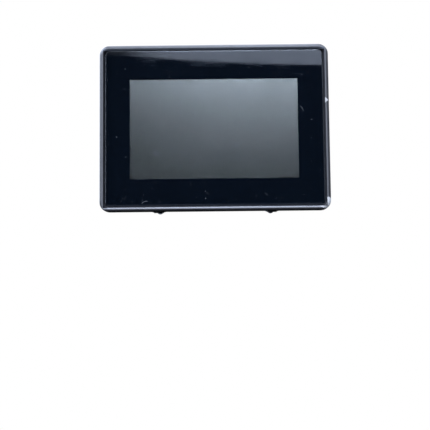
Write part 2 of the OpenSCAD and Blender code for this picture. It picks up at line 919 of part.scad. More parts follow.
// Hinged door over the backup battery
module battery_door() {
    plate_y = body_depth - 2.1;
    left = door_x - door_w / 2;
    right = door_x + door_w / 2;
    color([0.19, 0.195, 0.2])
        difference() {
            union() {
                box([left + gap, plate_y, door_z + gap], [right - gap, body_depth - 0.1, hinge_z - 3.3]);
                box([left + ear_len + gap, plate_y, hinge_z - 4],
                    [right - ear_len - gap, body_depth - 0.1, hinge_z]);
                translate([left + ear_len + gap, hinge_y, hinge_z])
                    rotate([0, 90, 0])
                        cylinder(r = 2.2, h = door_w - 2 * ear_len - 2 * gap);
                // stiffening ribs inside
                for (x = [left + 4, right - 5])
                    box([x, plate_y - 1.5, door_z + 3], [x + 1, plate_y + cut, hinge_z - 6]);
            }
            translate([door_x, hinge_y, hinge_z])
                rotate([0, 90, 0])
                    cylinder(r = hinge_pin_r + 0.06, h = door_w, center = true);
        }
}

// Steel pin of the battery door's hinge
module door_hinge_pin() {
    color([0.8, 0.8, 0.8])
        translate([door_x, hinge_y, hinge_z])
            rotate([0, 90, 0])
                cylinder(r = hinge_pin_r, h = door_w + 2 * ear_len - 1.4, center = true);
}

// Blank label plate
module rating_label() {
    color([0.86, 0.87, 0.87])
        slab(body_depth - 0.3, body_depth - 0.05)
            translate([label_x, label_z])
                rounded_rect(label_w, label_h, 1.5);
}

// Threaded stud for the earth wire
module earth_stud() {
    color([0.8, 0.76, 0.5]) {
        post(earth_x, earth_z, tray_depth - wall - 1.5, tray_depth - wall, 3.6);
        post(earth_x, earth_z, tray_depth - wall - cut, tray_depth + nut_t + 0.1 + cut, earth_shank_r);
        post(earth_x, earth_z, tray_depth + nut_t + 0.1, tray_depth + 12, 2);
    }
}

// Lock nut at the foot of the earth stud
module earth_nut() {
    color([0.8, 0.76, 0.5])
        difference() {
            translate([earth_x, tray_depth + nut_t, earth_z])
                rotate([90, 0, 0])
                    cylinder(r = 4.04, h = nut_t, $fn = 6);
            post(earth_x, earth_z, tray_depth - cut, tray_depth + nut_t + cut, earth_shank_r + thread_gap);
        }
}

// ---------- panel clamps ----------

// Puts a clamp piece at clamp i, along the top or turned over along the bottom
module at_clamp(i) {
    p = clamp_places[i];
    translate([p[0], 0, 0])
        rotate([0, p[1] > 0 ? 0 : 180, 0])
            children();
}

// Brackets that hook into the rear housing and carry the clamp screws
module clamp_brackets() {
    low = body_h / 2 + 0.05;
    inside = body_h / 2 - wall - 0.2;
    color([0.74, 0.75, 0.76])
        for (i = [0 : 3])
            at_clamp(i)
                difference() {
                    union() {
                        box([-6, 10.8, low], [6, 16, low + 1.6]);
                        box([-3.6, 11, inside - 1.4], [3.6, 12.8, low + 0.5]);
                        box([-3.6, 11, inside - 1.4], [3.6, 13.6, inside]);
                        box([-4.6, 13, low + 1], [4.6, 16, clamp_z + 3.1]);
                        for (side = [-1, 1])
                            translate([side * 5.3, 0, 0])
                                rotate([90, 0, 90])
                                    linear_extrude(1.4, center = true)
                                        polygon([[11, low + 1], [16, low + 1], [16, clamp_z + 2.4],
                                            [14.6, clamp_z + 2.4], [11, low + 2.4]]);
                        post(0, clamp_z, 15, 19, 3.1);
                    }
                    post(0, clamp_z, 12, 20, clamp_thread_r + thread_gap);
                }
}

// Swivel foot that presses on the back of the cabinet wall
module clamp_foot(i) {
    color([0.8, 0.8, 0.78])
        at_clamp(i)
            difference() {
                union() {
                    post(0, clamp_z, foot_rest + 0.5, foot_rest + foot_t, foot_r);
                    translate([0, foot_rest, clamp_z])
                        rotate([-90, 0, 0])
                            cylinder(r1 = foot_r - 0.5, r2 = foot_r, h = 0.5 + cut);
                }
                post(0, clamp_z, foot_rest + 1.2, foot_rest + foot_t + cut, 1.45);
            }
}

// Long screw of a clamp
module clamp_screw(i) {
    shoulder = foot_rest + foot_t + 0.1;
    seat = shoulder + clamp_screw_length;
    color([0.78, 0.78, 0.77])
        at_clamp(i)
            difference() {
                union() {
                    post(0, clamp_z, foot_rest + 1.3, shoulder + cut, 1.4);
                    post(0, clamp_z, shoulder, seat, clamp_thread_r);
                    post(0, clamp_z, seat - cut, seat + 2, 3.2);
                    translate([0, seat + 2, clamp_z])
                        rotate([-90, 0, 0])
                            cylinder(r1 = 3.2, r2 = 2.7, h = 0.5);
                }
                for (turn = [0, 90])
                    translate([0, seat + 2.5, clamp_z])
                        rotate([0, turn, 0])
                            cube([4, 2.8, 0.8], center = true);
            }
}

front_bezel();
panel_gasket();
cover_glass();
printed_border();
glass_tape();
touch_sensor();
touch_flex();
lcd_frame();
lcd_cell();
optical_films();
light_guide();
backlight_strip();
lcd_flex();
display_screws();
chassis_plate();
chassis_screws();
board_spacers();
board_screws();
main_board();
processor();
heat_sink();
memory_chips();
power_inductors();
capacitors();
buzzer();
battery_holder();
backup_battery();
power_header();
power_pins();
power_plug();
terminal_screws();
ethernet_jack();
ethernet_contacts();
serial_port();
serial_insert();
jack_posts();
usb_host_port();
usb_device_port();
usb_tongues();
card_socket();
memory_card();
status_lights();
reset_switch();
reset_button();
rear_cover();
cover_screws();
battery_door();
door_hinge_pin();
rating_label();
earth_stud();
earth_nut();
clamp_brackets();
clamp_foot(0);  // clamp_foot_1
clamp_foot(1);  // clamp_foot_2
clamp_foot(2);  // clamp_foot_3
clamp_foot(3);  // clamp_foot_4
clamp_screw(0);  // clamp_screw_1
clamp_screw(1);  // clamp_screw_2
clamp_screw(2);  // clamp_screw_3
clamp_screw(3);  // clamp_screw_4
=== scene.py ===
"""Operator touch panel for a machine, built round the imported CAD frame."""

import json
import math

import bmesh
import bpy
from mathutils import Matrix, Vector


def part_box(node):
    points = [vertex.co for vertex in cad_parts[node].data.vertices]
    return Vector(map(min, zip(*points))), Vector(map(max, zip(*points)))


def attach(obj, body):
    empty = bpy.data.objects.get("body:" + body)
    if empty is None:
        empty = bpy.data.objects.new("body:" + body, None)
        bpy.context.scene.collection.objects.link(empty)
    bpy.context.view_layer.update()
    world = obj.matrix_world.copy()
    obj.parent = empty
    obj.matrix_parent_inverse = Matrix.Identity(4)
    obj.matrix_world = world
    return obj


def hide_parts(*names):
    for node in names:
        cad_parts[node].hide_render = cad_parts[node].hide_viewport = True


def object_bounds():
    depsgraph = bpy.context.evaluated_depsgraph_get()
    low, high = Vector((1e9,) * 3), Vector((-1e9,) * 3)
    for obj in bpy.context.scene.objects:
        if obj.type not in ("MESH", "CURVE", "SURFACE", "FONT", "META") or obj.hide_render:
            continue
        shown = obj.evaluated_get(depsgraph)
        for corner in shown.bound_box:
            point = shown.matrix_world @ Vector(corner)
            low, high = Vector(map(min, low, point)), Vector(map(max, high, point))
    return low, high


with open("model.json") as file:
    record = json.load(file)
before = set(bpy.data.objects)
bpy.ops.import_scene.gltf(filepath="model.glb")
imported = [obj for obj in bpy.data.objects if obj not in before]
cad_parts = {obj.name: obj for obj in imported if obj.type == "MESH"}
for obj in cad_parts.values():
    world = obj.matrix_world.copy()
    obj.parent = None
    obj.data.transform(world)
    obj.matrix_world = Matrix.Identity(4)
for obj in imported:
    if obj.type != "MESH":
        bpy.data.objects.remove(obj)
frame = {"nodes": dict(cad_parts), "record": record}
cad_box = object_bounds()

MM = 0.001
X, Y, Z = Vector((1, 0, 0)), Vector((0, 1, 0)), Vector((0, 0, 1))

# ---------- places read from the frame ----------

bezel_low, bezel_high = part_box("front_bezel")
glass_low, glass_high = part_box("cover_glass")
cover_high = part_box("rear_cover")[1]
label_low, label_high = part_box("rating_label")
floor_z = cad_box[0].z

# ---------- sizes that the frame's boxes don't give, in millimetres ----------

WINDOW = (-76.7, 75.95, -46.4, 45.2)  # left, right, bottom, top
FLANGE_BACK = -1.0                  # rear face of the bezel's flange
WALL = 2.2                          # of the rear housing
TRAY_BACK = 16.0                    # rear face of the shallow tray
TRAY_ROUND = 4.0
BLOCK_BACK = 42.0                   # rear face of the raised block
BLOCK_HALF_W = 84.0
BLOCK_LOW, BLOCK_HIGH = -46.0, 62.0
BLOCK_ROUND = 5.0
BOARD_BACK = 22.0                   # rear face of the main board, which the sockets stand on
COVER_SCREWS = [(x, z) for x in (-89.5, 89.5) for z in (-58, 0, 58)]
CHASSIS_POSTS = [(x, z) for x in (-78, 78) for z in (-58, 58)]
SCREW_SEAT = 13.6                   # floor of the cover screws' wells
DOOR_X, DOOR_HALF_W, DOOR_LOW, DOOR_HIGH = 55.0, 18.0, 4.0, 42.0
HINGE_Y, HINGE_Z, EAR = 41.0, 39.2, 3.0
LIGHTS_X, LIGHTS_Z, RESET_X = (36.0, 44.0, 52.0), -16.0, 66.0
POWER_X, POWER_PITCH, PLUG_LOW = -70.0, 5.08, -56.8
PORT_Z = -46.2                      # outer face of the sockets underneath
ETHERNET_X, USB_DEVICE_X = -14.0, -40.0
SERIAL_X, SERIAL_Y, SERIAL_HALF_PITCH = 25.0, 28.65, 12.5
USB_HOST_Z, CARD_Z = 25.0, -9.0
EARTH_X, EARTH_Z, NUT_HIGH = 72.0, -57.0, 3.2
CLAMP_X, CLAMP_Z, FOOT_REST, CLAMP_SEAT = 52.0, 72.5, 7.0, 29.1
PITCH = 0.7                         # of the M4 threads
SHARP = 32                          # degrees between two faces from which their edge stays sharp
# half section of a clamp's foot, with a groove round it: radius, depth
FOOT = [(1.45, 8.2), (1.45, 9.8), (1.65, 10.0), (2.95, 10.0), (3.2, 9.75), (3.2, 9.1),
        (3.0, 8.95), (3.0, 8.5), (3.2, 8.35), (3.2, 7.5), (2.95, 7.15), (2.7, 7.0)]


# ---------- camera ----------

def make_camera():
    """The photograph's view: close to square on, from a little below the panel's centre."""
    data = bpy.data.cameras.new("camera")
    data.sensor_width = 36.0
    data.lens = 61.52
    camera = bpy.data.objects.new("camera", data)
    bpy.context.scene.collection.objects.link(camera)
    pitch, yaw, roll = 0.077, 0.0021, -0.0101
    turn = Matrix.Rotation(yaw, 3, "Z") @ Matrix.Rotation(pitch, 3, "X") @ Matrix.Rotation(-roll, 3, "Y")
    camera.matrix_world = (
        Matrix.Translation((1.06 * MM, -662.6 * MM, -130.2 * MM))
        @ (turn @ Matrix.Rotation(math.radians(90), 3, "X")).to_4x4()
    )
    bpy.context.scene.camera = camera


# ---------- shader helpers ----------

class Shader:
    """The node tree of a new material, or of a new world, with short ways to add and join nodes."""

    def __init__(self, name, world=False):
        self.owner = (bpy.data.worlds if world else bpy.data.materials).new(name)
        self.owner.use_nodes = True
        self.tree = self.owner.node_tree
        self.tree.nodes.clear()
        self.output = self.tree.nodes.new("ShaderNodeOutputWorld" if world else "ShaderNodeOutputMaterial")
        self.place = self.add("ShaderNodeTexCoord").outputs["Generated" if world else "Object"]

    def add(self, kind, settings=None, **inputs):
        """A node of that kind. Inputs are numbers, colours or sockets, named with _ for a space."""
        node = self.tree.nodes.new(kind)
        for name, value in (settings or {}).items():
            setattr(node, name, value)
        for name, value in inputs.items():
            self.feed(node.inputs[name.replace("_", " ")], value)
        return node

    def feed(self, socket, value):
        if isinstance(value, bpy.types.NodeSocket):
            self.tree.links.new(value, socket)
        else:
            socket.default_value = value

    def math(self, operation, a, b=0.0):
        node = self.add("ShaderNodeMath", {"operation": operation})
        self.feed(node.inputs[0], a)
        self.feed(node.inputs[1], b)
        return node.outputs[0]

    def times(self, a, b):
        return self.math("MULTIPLY", a, b)

    def plus(self, a, b):
        return self.math("ADD", a, b)

    def minus(self, a, b):
        return self.math("SUBTRACT", a, b)

    def least(self, a, b):
        return self.math("MINIMUM", a, b)

    def most(self, a, b):
        return self.math("MAXIMUM", a, b)

    def size_of(self, a):
        return self.math("ABSOLUTE", a)

    def inset(self, x, z, half_w, half_h):
        """How far a place is inside a rectangle round the middle, from its nearest side."""
        return self.least(self.minus(half_w, self.size_of(x)), self.minus(half_h, self.size_of(z)))

    def split(self):
        """The shaded point's x, y and z."""
        return self.add("ShaderNodeSeparateXYZ", Vector=self.place).outputs

    def ramp(self, value, low, high, to_low=0.0, to_high=1.0):
        """value from low to high, turned smoothly into to_low to to_high."""
        node = self.add("ShaderNodeMapRange", {"interpolation_type": "SMOOTHSTEP"}, Value=value)
        for socket, number in zip(node.inputs[1:5], (low, high, to_low, to_high)):
            socket.default_value = number
        return node.outputs[0]

    def noise(self, size, detail=3.0, stretch=(1, 1, 1)):
        """Noise whose features are about size metres across, longer along a stretched axis."""
        scaled = self.add("ShaderNodeMapping", Vector=self.place)
        scaled.inputs["Scale"].default_value = [1 / (size * s) for s in stretch]
        node = self.add("ShaderNodeTexNoise", Vector=scaled.outputs[0], Scale=1.0, Detail=detail)
        return node.outputs["Fac"]

    def cells(self, size, feature="F1"):
        node = self.add("ShaderNodeTexVoronoi", {"feature": feature}, Vector=self.place, Scale=1 / size)
        return node.outputs

    def distance(self, place, depth):
        """How far the shaded point is from a place on the front, given as x and z in millimetres."""
        away = self.add("ShaderNodeVectorMath", {"operation": "DISTANCE"})
        self.tree.links.new(self.place, away.inputs[0])
        away.inputs[1].default_value = (place[0] * MM, depth, place[1] * MM)
        return away.outputs["Value"]

    def mix(self, factor, a, b):
        """A colour between a and b."""
        node = self.add("ShaderNodeMix", {"data_type": "RGBA"})
        self.feed(node.inputs["Factor"], factor)
        for socket, value in zip((node.inputs[6], node.inputs[7]), (a, b)):
            self.feed(socket, value if isinstance(value, bpy.types.NodeSocket) else (*value, 1.0))
        return node.outputs[2]

    def bump(self, height, distance, normal=None):
        node = self.add("ShaderNodeBump", Strength=1.0, Distance=distance, Height=height)
        if normal is not None:
            self.feed(node.inputs["Normal"], normal)
        return node.outputs[0]

    def edge(self, radius):
        """About 1 on sharp edges and 0 on flat faces, and the rounded normal there."""
        rounded = self.add("ShaderNodeBevel", {"samples": 4}, Radius=radius).outputs[0]
        true = self.add("ShaderNodeNewGeometry").outputs["True Normal"]
        dot = self.add("ShaderNodeVectorMath", {"operation": "DOT_PRODUCT"})
        self.tree.links.new(rounded, dot.inputs[0])
        self.tree.links.new(true, dot.inputs[1])
        return self.ramp(dot.outputs["Value"], 0.995, 0.86), rounded

    def blend(self, factor, a, b):
        """Two surfaces mixed."""
        mixed = self.add("ShaderNodeMixShader", Fac=factor)
        self.tree.links.new(a.outputs[0], mixed.inputs[1])
        self.tree.links.new(b.outputs[0], mixed.inputs[2])
        return mixed

    def matt(self, colour):
        return self.add("ShaderNodeBsdfDiffuse", Color=colour)

    def pane(self, tint, roughness):
        """Glass: it mirrors at its front face, more at a slant, and lets the rest through."""
        through = self.add("ShaderNodeBsdfTransparent", Color=(*tint, 1.0))
        mirror = self.add("ShaderNodeBsdfAnisotropic", Color=(1, 1, 1, 1), Roughness=roughness)
        outside = self.minus(1.0, self.add("ShaderNodeNewGeometry").outputs["Backfacing"])
        share = self.times(self.add("ShaderNodeFresnel", IOR=1.5).outputs[0], outside)
        return self.blend(share, through, mirror)

    def solid(self, tone, roughness, normal, metallic=0.0):
        """The finished material of something that light doesn't pass."""
        return self.close(self.add(
            "ShaderNodeBsdfPrincipled", Base_Color=tone, Metallic=metallic, Roughness=roughness, Normal=normal
        ))

    def close(self, shader):
        self.tree.links.new(shader.outputs[0], self.output.inputs["Surface"])
        return self.owner


def plastic(slot, colour, roughness, grain, depth=0.02, fade=0.25, edge_tone=1.8):
    """Moulded plastic: spark-eroded grain, faint handling marks and edges rubbed a little lighter."""
    s = Shader(slot)
    dark = [c * (1 - fade) for c in colour]
    light = [min(1, c * (1 + fade)) for c in colour]
    tone = s.mix(s.ramp(s.noise(14 * MM, 4), 0.3, 0.7), dark, light)
    rubbed, rounded = s.edge(0.25 * MM)
    rubbed = s.times(rubbed, s.ramp(s.noise(3 * MM), 0.42, 0.6))
    tone = s.mix(rubbed, tone, [min(1, c * edge_tone + 0.01) for c in colour])
    rough = s.ramp(s.noise(5 * MM, 5), 0.25, 0.75, roughness - 0.08, roughness + 0.08)
    grainy = s.bump(s.noise(grain * MM, 2), depth * MM, rounded)
    return s.solid(tone, rough, grainy)


def metal(slot, colour, roughness=0.3, brushed=(1, 1, 1), stain=None):
    """Plated or rolled metal: fine rolling marks, cloudy patches and bright rubbed edges."""
    s = Shader(slot)
    dull_and_painted_shade = stain or [c * 0.72 for c in colour]
    tone = s.mix(s.ramp(s.noise(6 * MM, 5), 0.35, 0.68), dull_and_painted_shade, colour)
    rubbed, rounded = s.edge(0.15 * MM)
    tone = s.mix(rubbed, tone, [min(1, c * 1.15) for c in colour])
    marks = s.noise(0.5 * MM, 3, brushed)
    rough = s.ramp(marks, 0.2, 0.8, max(roughness - 0.07, 0.28), roughness + 0.14)
    return s.solid(tone, rough, s.bump(marks, 0.004 * MM, rounded), 1.0)


def clear(slot, tint, gloss_roughness=0.03, haze=0.0):
    """A clear pane or film: it mirrors a little at its front face and lets light through."""
    s = Shader(slot)
    pane = s.pane(tint, s.ramp(s.noise(18 * MM, 4), 0.3, 0.7, gloss_roughness, gloss_roughness * 1.8))
    if not haze:
        return s.close(pane)
    milky = s.matt(s.mix(s.noise(9 * MM), (0.75, 0.78, 0.8), (0.9, 0.92, 0.93)))
    return s.close(s.blend(haze, pane, milky))


# ---------- special materials ----------

def bezel_paint():
    """Satin black paint on the cast bezel, with worn and chipped spots. Its crest is painted lighter as a
    painted highlight, and its inner slope is a dark matt colour as painted shade, lighter along the top side
    as a painted reflection.
    """
    s = Shader("bezel_paint")
    x, y, z = s.split()
    from_edge = s.inset(x, z, bezel_high.x, bezel_high.z)
    inner = s.times(s.ramp(from_edge, 3.45 * MM, 3.6 * MM), s.ramp(y, -4.5 * MM, -5.0 * MM))
    cloud = s.ramp(s.noise(9 * MM, 5), 0.3, 0.7)
    tone = s.mix(cloud, (0.045, 0.041, 0.039), (0.068, 0.062, 0.058))
    # painted highlight: the crest is painted lighter where it catches the light
    crest_highlight = s.times(s.ramp(from_edge, 1.9 * MM, 2.6 * MM), s.minus(1.0, inner))
    crest_highlight = s.times(crest_highlight, s.ramp(y, -7.0 * MM, -7.8 * MM))
    tone = s.mix(s.times(crest_highlight, 0.6), tone, (0.23, 0.22, 0.215))
    # painted highlight: lighter still along the bottom, where the crest's inner edge faces up to the overhead
    # light
    lit_bottom = s.ramp(z, bezel_low.z + 4 * MM, bezel_low.z + 3.4 * MM)
    tone = s.mix(s.times(s.times(crest_highlight, lit_bottom), 0.75), tone, (0.55, 0.53, 0.52))
    # the paint is worn through round the lower right corner, and chipped above it, as in the photograph
    fray = s.noise(1.1 * MM, 4)
    frayed = s.times(s.minus(fray, 0.5), 1.6 * MM)
    from_x = s.minus(x, bezel_high.x - 9 * MM)
    from_z = s.minus(z, bezel_low.z + 9 * MM)
    reach = s.math("SQRT", s.plus(s.math("POWER", from_x, 2.0), s.math("POWER", from_z, 2.0)))
    around = s.times(s.math("ARCTAN2", s.times(from_z, -1.0), from_x), reach)
    middle = s.size_of(s.minus(around, 3.6 * MM))
    past = s.minus(reach, 5.3 * MM)
    worn = s.minus(s.minus(6.8 * MM, middle), s.times(past, 0.35))
    inward = s.plus(past, s.times(frayed, 0.3))
    worn = s.least(s.plus(worn, frayed), inward)
    worn = s.ramp(worn, 0.0, 0.25 * MM)
    outward = s.minus(x, bezel_high.x - 4.2 * MM)
    chip = s.size_of(s.minus(z, 23.7 * MM))
    chip = s.minus(s.minus(3.1 * MM, chip), s.times(outward, 0.85))
    chip = s.least(s.plus(chip, s.times(frayed, 0.6)), outward)
    worn = s.most(worn, s.ramp(chip, 0.0, 0.25 * MM))
    worn = s.times(worn, s.ramp(s.plus(y, frayed), -3.2 * MM, -3.8 * MM))
    specks = s.ramp(s.cells(5 * MM)["Distance"], 0.03, 0.02)
    worn_tone = s.mix(fray, (0.62, 0.58, 0.54), (0.98, 0.93, 0.85))
    tone = s.mix(s.times(specks, 0.2), tone, (0.4, 0.4, 0.42))
    tone = s.mix(worn, tone, worn_tone)
    rough = s.ramp(s.noise(4 * MM, 5), 0.25, 0.75, 0.3, 0.4)
    height = s.minus(s.noise(0.45 * MM, 2), s.times(worn, 0.8))
    normal = s.bump(height, 0.012 * MM)
    paint = s.add("ShaderNodeBsdfPrincipled", Base_Color=tone, Roughness=rough, Normal=normal)
    # painted shade: the inner slope down to the glass is a dark matt colour in place of the groove's shade
    dull_and_painted_shade = s.matt(s.mix(cloud, (0.012, 0.012, 0.014), (0.017, 0.017, 0.019)))
    # painted reflection: along the top side the inner slope is a lighter matt grey, standing in for light
    # reflected from below
    top_side = s.ramp(z, bezel_high.z - 5.2 * MM, bezel_high.z - 4.9 * MM)
    painted_top_light = s.matt(s.mix(cloud, (0.145, 0.15, 0.162), (0.165, 0.17, 0.182)))
    return s.close(s.blend(s.times(inner, 0.88), paint, s.blend(top_side, dull_and_painted_shade, painted_top_light)))


def pane_glass():
    """Cover glass: clear, with dust, faint wipe marks and a few fine scratches on its front, and a painted
    highlight along its bevelled edge.
    """
    s = Shader("cover_glass")
    smear = s.noise(30 * MM, 4, (1.0, 1.0, 0.4))
    pane = s.pane((0.95, 0.975, 0.985), s.ramp(smear, 0.35, 0.7, 0.012, 0.05))
    # dust: one grain in a few of the cells, hair-thin scratches in patches, and three soft smudges
    x, y, z = s.split()
    flat = s.add("ShaderNodeCombineXYZ", X=x, Y=z).outputs[0]
    plane = {"voronoi_dimensions": "2D"}
    grains = s.add("ShaderNodeTexVoronoi", plane, Vector=flat, Scale=1 / (8 * MM)).outputs
    lot = s.add("ShaderNodeSeparateXYZ", Vector=grains["Color"]).outputs
    grain_size = s.ramp(lot[1], 0.0, 1.0, 0.014, 0.036)
    grain = s.ramp(s.minus(grains["Distance"], grain_size), 0.012, -0.012)
    dust_and_highlight_mask = s.times(grain, s.ramp(lot[0], 0.74, 0.98, 0.0, 0.6))
    scratch = s.ramp(s.cells(17 * MM, "DISTANCE_TO_EDGE")["Distance"], 0.012, 0.003)
    scratch = s.times(scratch, s.ramp(s.noise(5 * MM, 1), 0.66, 0.7, 0.0, 0.1))
    dust_and_highlight_mask = s.most(dust_and_highlight_mask, scratch)
    for place in ((-32.2, 22.5), (19.4, -17.0), (-52.9, -23.1)):
        uneven = s.plus(s.distance(place, glass_low.y), s.times(s.noise(2.5 * MM), 3 * MM))
        dust_and_highlight_mask = s.plus(dust_and_highlight_mask, s.ramp(uneven, 5.6 * MM, 1.6 * MM, 0.0, 0.13))
    # three short curved hairs: the middle of each, and the centre that it bends round
    hairs = ((-63.5, -67), (-61.5, -72)), ((79.5, 16.5), (73.5, 13)), ((66, 21.5), (67, 18.5))
    for middle, centre in hairs:
        radius = math.dist(middle, centre) * MM
        off = s.size_of(s.minus(s.distance(centre, glass_low.y), radius))
        near = s.ramp(s.distance(middle, glass_low.y), 3.4 * MM, 2.6 * MM)
        hair = s.times(s.ramp(off, 0.16 * MM, 0.06 * MM), near)
        dust_and_highlight_mask = s.plus(dust_and_highlight_mask, s.times(hair, 0.4))
    # painted highlight: a faint light band on the bevel round the edge
    bevel_highlight = s.ramp(s.inset(x, z, glass_high.x, glass_high.z), 1.4 * MM, 1.1 * MM, 0.0, 0.04)
    dust_and_highlight_mask = s.times(s.most(dust_and_highlight_mask, bevel_highlight), s.ramp(y, -6.3 * MM, -6.6 * MM))
    matt_dust_and_highlight = s.matt(s.mix(s.noise(2 * MM), (0.5, 0.51, 0.53), (0.7, 0.71, 0.72)))
    return s.close(s.blend(dust_and_highlight_mask, pane, matt_dust_and_highlight))


def print_ink():
    """Black ink printed on the back of the glass, with a faint cloudiness."""
    s = Shader("black_print")
    tone = s.mix(s.noise(35 * MM, 4), (0.003, 0.0056, 0.0098), (0.0044, 0.0074, 0.012))
    return s.close(s.add("ShaderNodeBsdfDiffuse", Color=tone, Roughness=0.6))


def lcd_surface():
    """Unlit liquid crystal cell: a grey anti-glare polariser over a faintly metallic depth."""
    s = Shader("lcd_surface")
    cloud = s.ramp(s.noise(40 * MM, 4), 0.3, 0.7)
    tone = s.mix(cloud, (0.527, 0.467, 0.405), (0.557, 0.492, 0.43))
    rough = s.ramp(s.noise(25 * MM, 4), 0.3, 0.7, 0.243, 0.25)
    return s.solid(tone, rough, s.bump(s.noise(0.12 * MM, 2), 0.001 * MM), 0.9)


def board_green():
    """Circuit board: solder mask over copper tracks, with tinned pads."""
    s = Shader("board_green")
    tracks = s.cells(3.2 * MM, "DISTANCE_TO_EDGE")["Distance"]
    copper = s.ramp(tracks, 0.09, 0.06)
    tone = s.mix(copper, (0.006, 0.055, 0.022), (0.015, 0.12, 0.045))
    tone = s.mix(s.ramp(s.cells(2.4 * MM)["Distance"], 0.13, 0.11), tone, (0.62, 0.6, 0.55))
    rough = s.ramp(s.noise(3 * MM), 0.3, 0.7, 0.28, 0.42)
    return s.solid(tone, rough, s.bump(copper, 0.03 * MM))


def label_silver():
    """Blank label foil with a thin printed frame and empty rulings."""
    s = Shader("label_silver")
    x, _, z = s.split()
    middle = (label_low + label_high) / 2
    half = (label_high - label_low) / 2
    up = s.minus(z, middle.z)
    inside = s.inset(s.minus(x, middle.x), up, half.x - 1.6 * MM, half.z - 1.6 * MM)
    frame_line = s.ramp(s.size_of(inside), 0.28 * MM, 0.2 * MM)
    rows = s.size_of(s.minus(s.math("FRACT", s.math("DIVIDE", up, 6.2 * MM)), 0.5))
    row_line = s.times(s.ramp(rows, 0.03, 0.02), s.ramp(inside, 0.0, 0.1 * MM))
    ink = s.most(frame_line, row_line)
    foil = s.mix(s.noise(0.6 * MM, 3, (30, 1, 1)), (0.6, 0.61, 0.62), (0.74, 0.75, 0.76))
    tone = s.mix(ink, foil, (0.03, 0.03, 0.035))
    rough = s.ramp(s.noise(8 * MM, 4), 0.3, 0.7, 0.32, 0.46)
    return s.solid(tone, rough, s.bump(s.noise(1.6 * MM, 3), 0.01 * MM), 0.35)


def make_materials():
    """One material for each of the record's slots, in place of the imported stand-ins."""
    for stand_in in list(bpy.data.materials):
        bpy.data.materials.remove(stand_in)
    made = [
        bezel_paint(), pane_glass(), print_ink(), lcd_surface(), board_green(), label_silver(),
        clear("sensor_film", (0.97, 0.98, 0.98), 0.06),
        clear("clear_acrylic", (0.9, 0.93, 0.94), 0.08, haze=0.25),
        clear("light_pipe", (0.8, 0.86, 0.84), 0.12, haze=0.55),
        plastic("gasket_rubber", (0.02, 0.02, 0.021), 0.72, 0.6, 0.03),
        plastic("adhesive", (0.02, 0.02, 0.022), 0.6, 0.4),
        plastic("flex_amber", (0.42, 0.16, 0.02), 0.38, 0.9, 0.01),
        plastic("diffuser_film", (0.8, 0.81, 0.82), 0.5, 0.2, 0.01, 0.04, 1.0),
        plastic("led_yellow", (0.72, 0.66, 0.28), 0.4, 0.5),
        plastic("chip_black", (0.018, 0.018, 0.02), 0.45, 0.12, 0.008),
        plastic("inductor_grey", (0.06, 0.06, 0.065), 0.6, 0.25, 0.03),
        plastic("black_plastic", (0.02, 0.02, 0.022), 0.42, 0.3, 0.012),
        plastic("terminal_green", (0.02, 0.17, 0.045), 0.38, 0.4, 0.01, 0.15),
        plastic("insert_blue", (0.012, 0.02, 0.09), 0.42, 0.3, 0.01),
        plastic("tongue_white", (0.78, 0.78, 0.75), 0.4, 0.3, 0.008, 0.05, 1.0),
        plastic("card_blue", (0.012, 0.025, 0.11), 0.38, 0.3, 0.008),
        plastic("button_red", (0.42, 0.02, 0.015), 0.38, 0.3, 0.008),
        plastic("cover_plastic", (0.034, 0.035, 0.037), 0.56, 0.42, 0.035, 0.12, 2.2),
        plastic("door_plastic", (0.036, 0.037, 0.039), 0.54, 0.42, 0.035, 0.12, 2.2),
        metal("module_steel", (0.62, 0.63, 0.64), 0.32, (20, 1, 1)),
        metal("screw_zinc", (0.66, 0.67, 0.68), 0.28),
        metal("chassis_steel", (0.58, 0.59, 0.6), 0.36, (25, 1, 1), (0.48, 0.5, 0.5)),
        metal("brass", (0.72, 0.53, 0.24), 0.27),
        metal("anodised_grey", (0.16, 0.165, 0.175), 0.42, (1, 1, 20)),
        metal("capacitor_can", (0.58, 0.59, 0.62), 0.25, (1, 15, 1)),
        metal("cell_steel", (0.7, 0.7, 0.69), 0.24),
        metal("pin_tin", (0.72, 0.7, 0.66), 0.3),
        metal("port_steel", (0.64, 0.645, 0.65), 0.26, (1, 15, 1)),
        metal("contact_gold", (0.85, 0.6, 0.22), 0.22),
        metal("stud_yellow", (0.7, 0.6, 0.34), 0.3, stain=(0.5, 0.52, 0.36)),
        metal("clamp_steel", (0.6, 0.61, 0.62), 0.36, stain=(0.42, 0.45, 0.5)),
        metal("clamp_screw", (0.62, 0.62, 0.62), 0.3, stain=(0.46, 0.47, 0.5)),
    ]
    return {m.name: m for m in made}


materials = make_materials()
slots = {part["node"]: part["material_slot"] for part in frame["record"]["subparts"]}
edge_widths = {
    "clamp_brackets": 0.35, "usb_host_port": 0.12, "usb_device_port": 0.15, "serial_port": 0.12,
    "serial_insert": 0.2, "power_header": 0.25, "card_socket": 0.1, "reset_button": 0.25,
    "heat_sink": 0.1, "battery_holder": 0.2, "processor": 0.08, "memory_chips": 0.08,
    "chassis_plate": 0.15, "rating_label": 0.06, "status_lights": 0.25,
}


def soften(made, width):
    """Small rounded edges, and shading that keeps the flat faces flat."""
    if width:
        bevel = made.modifiers.new("edges", "BEVEL")
        bevel.width = width * MM
        bevel.segments = 2
        bevel.limit_method = "ANGLE"
        bevel.angle_limit = math.radians(50)
    weighted = made.modifiers.new("shading", "WEIGHTED_NORMAL")
    weighted.keep_sharp = True
    weighted.weight = 100


def finish_cad_nodes():
    """Every CAD node that stays visible takes the material of its own slot, and some get softer edges."""
    for name, node in frame["nodes"].items():
        node.data.materials.clear()
        node.data.materials.append(materials[slots[name]])
        if name in edge_widths:
            soften(node, edge_widths[name])


# ---------- mesh helpers ----------

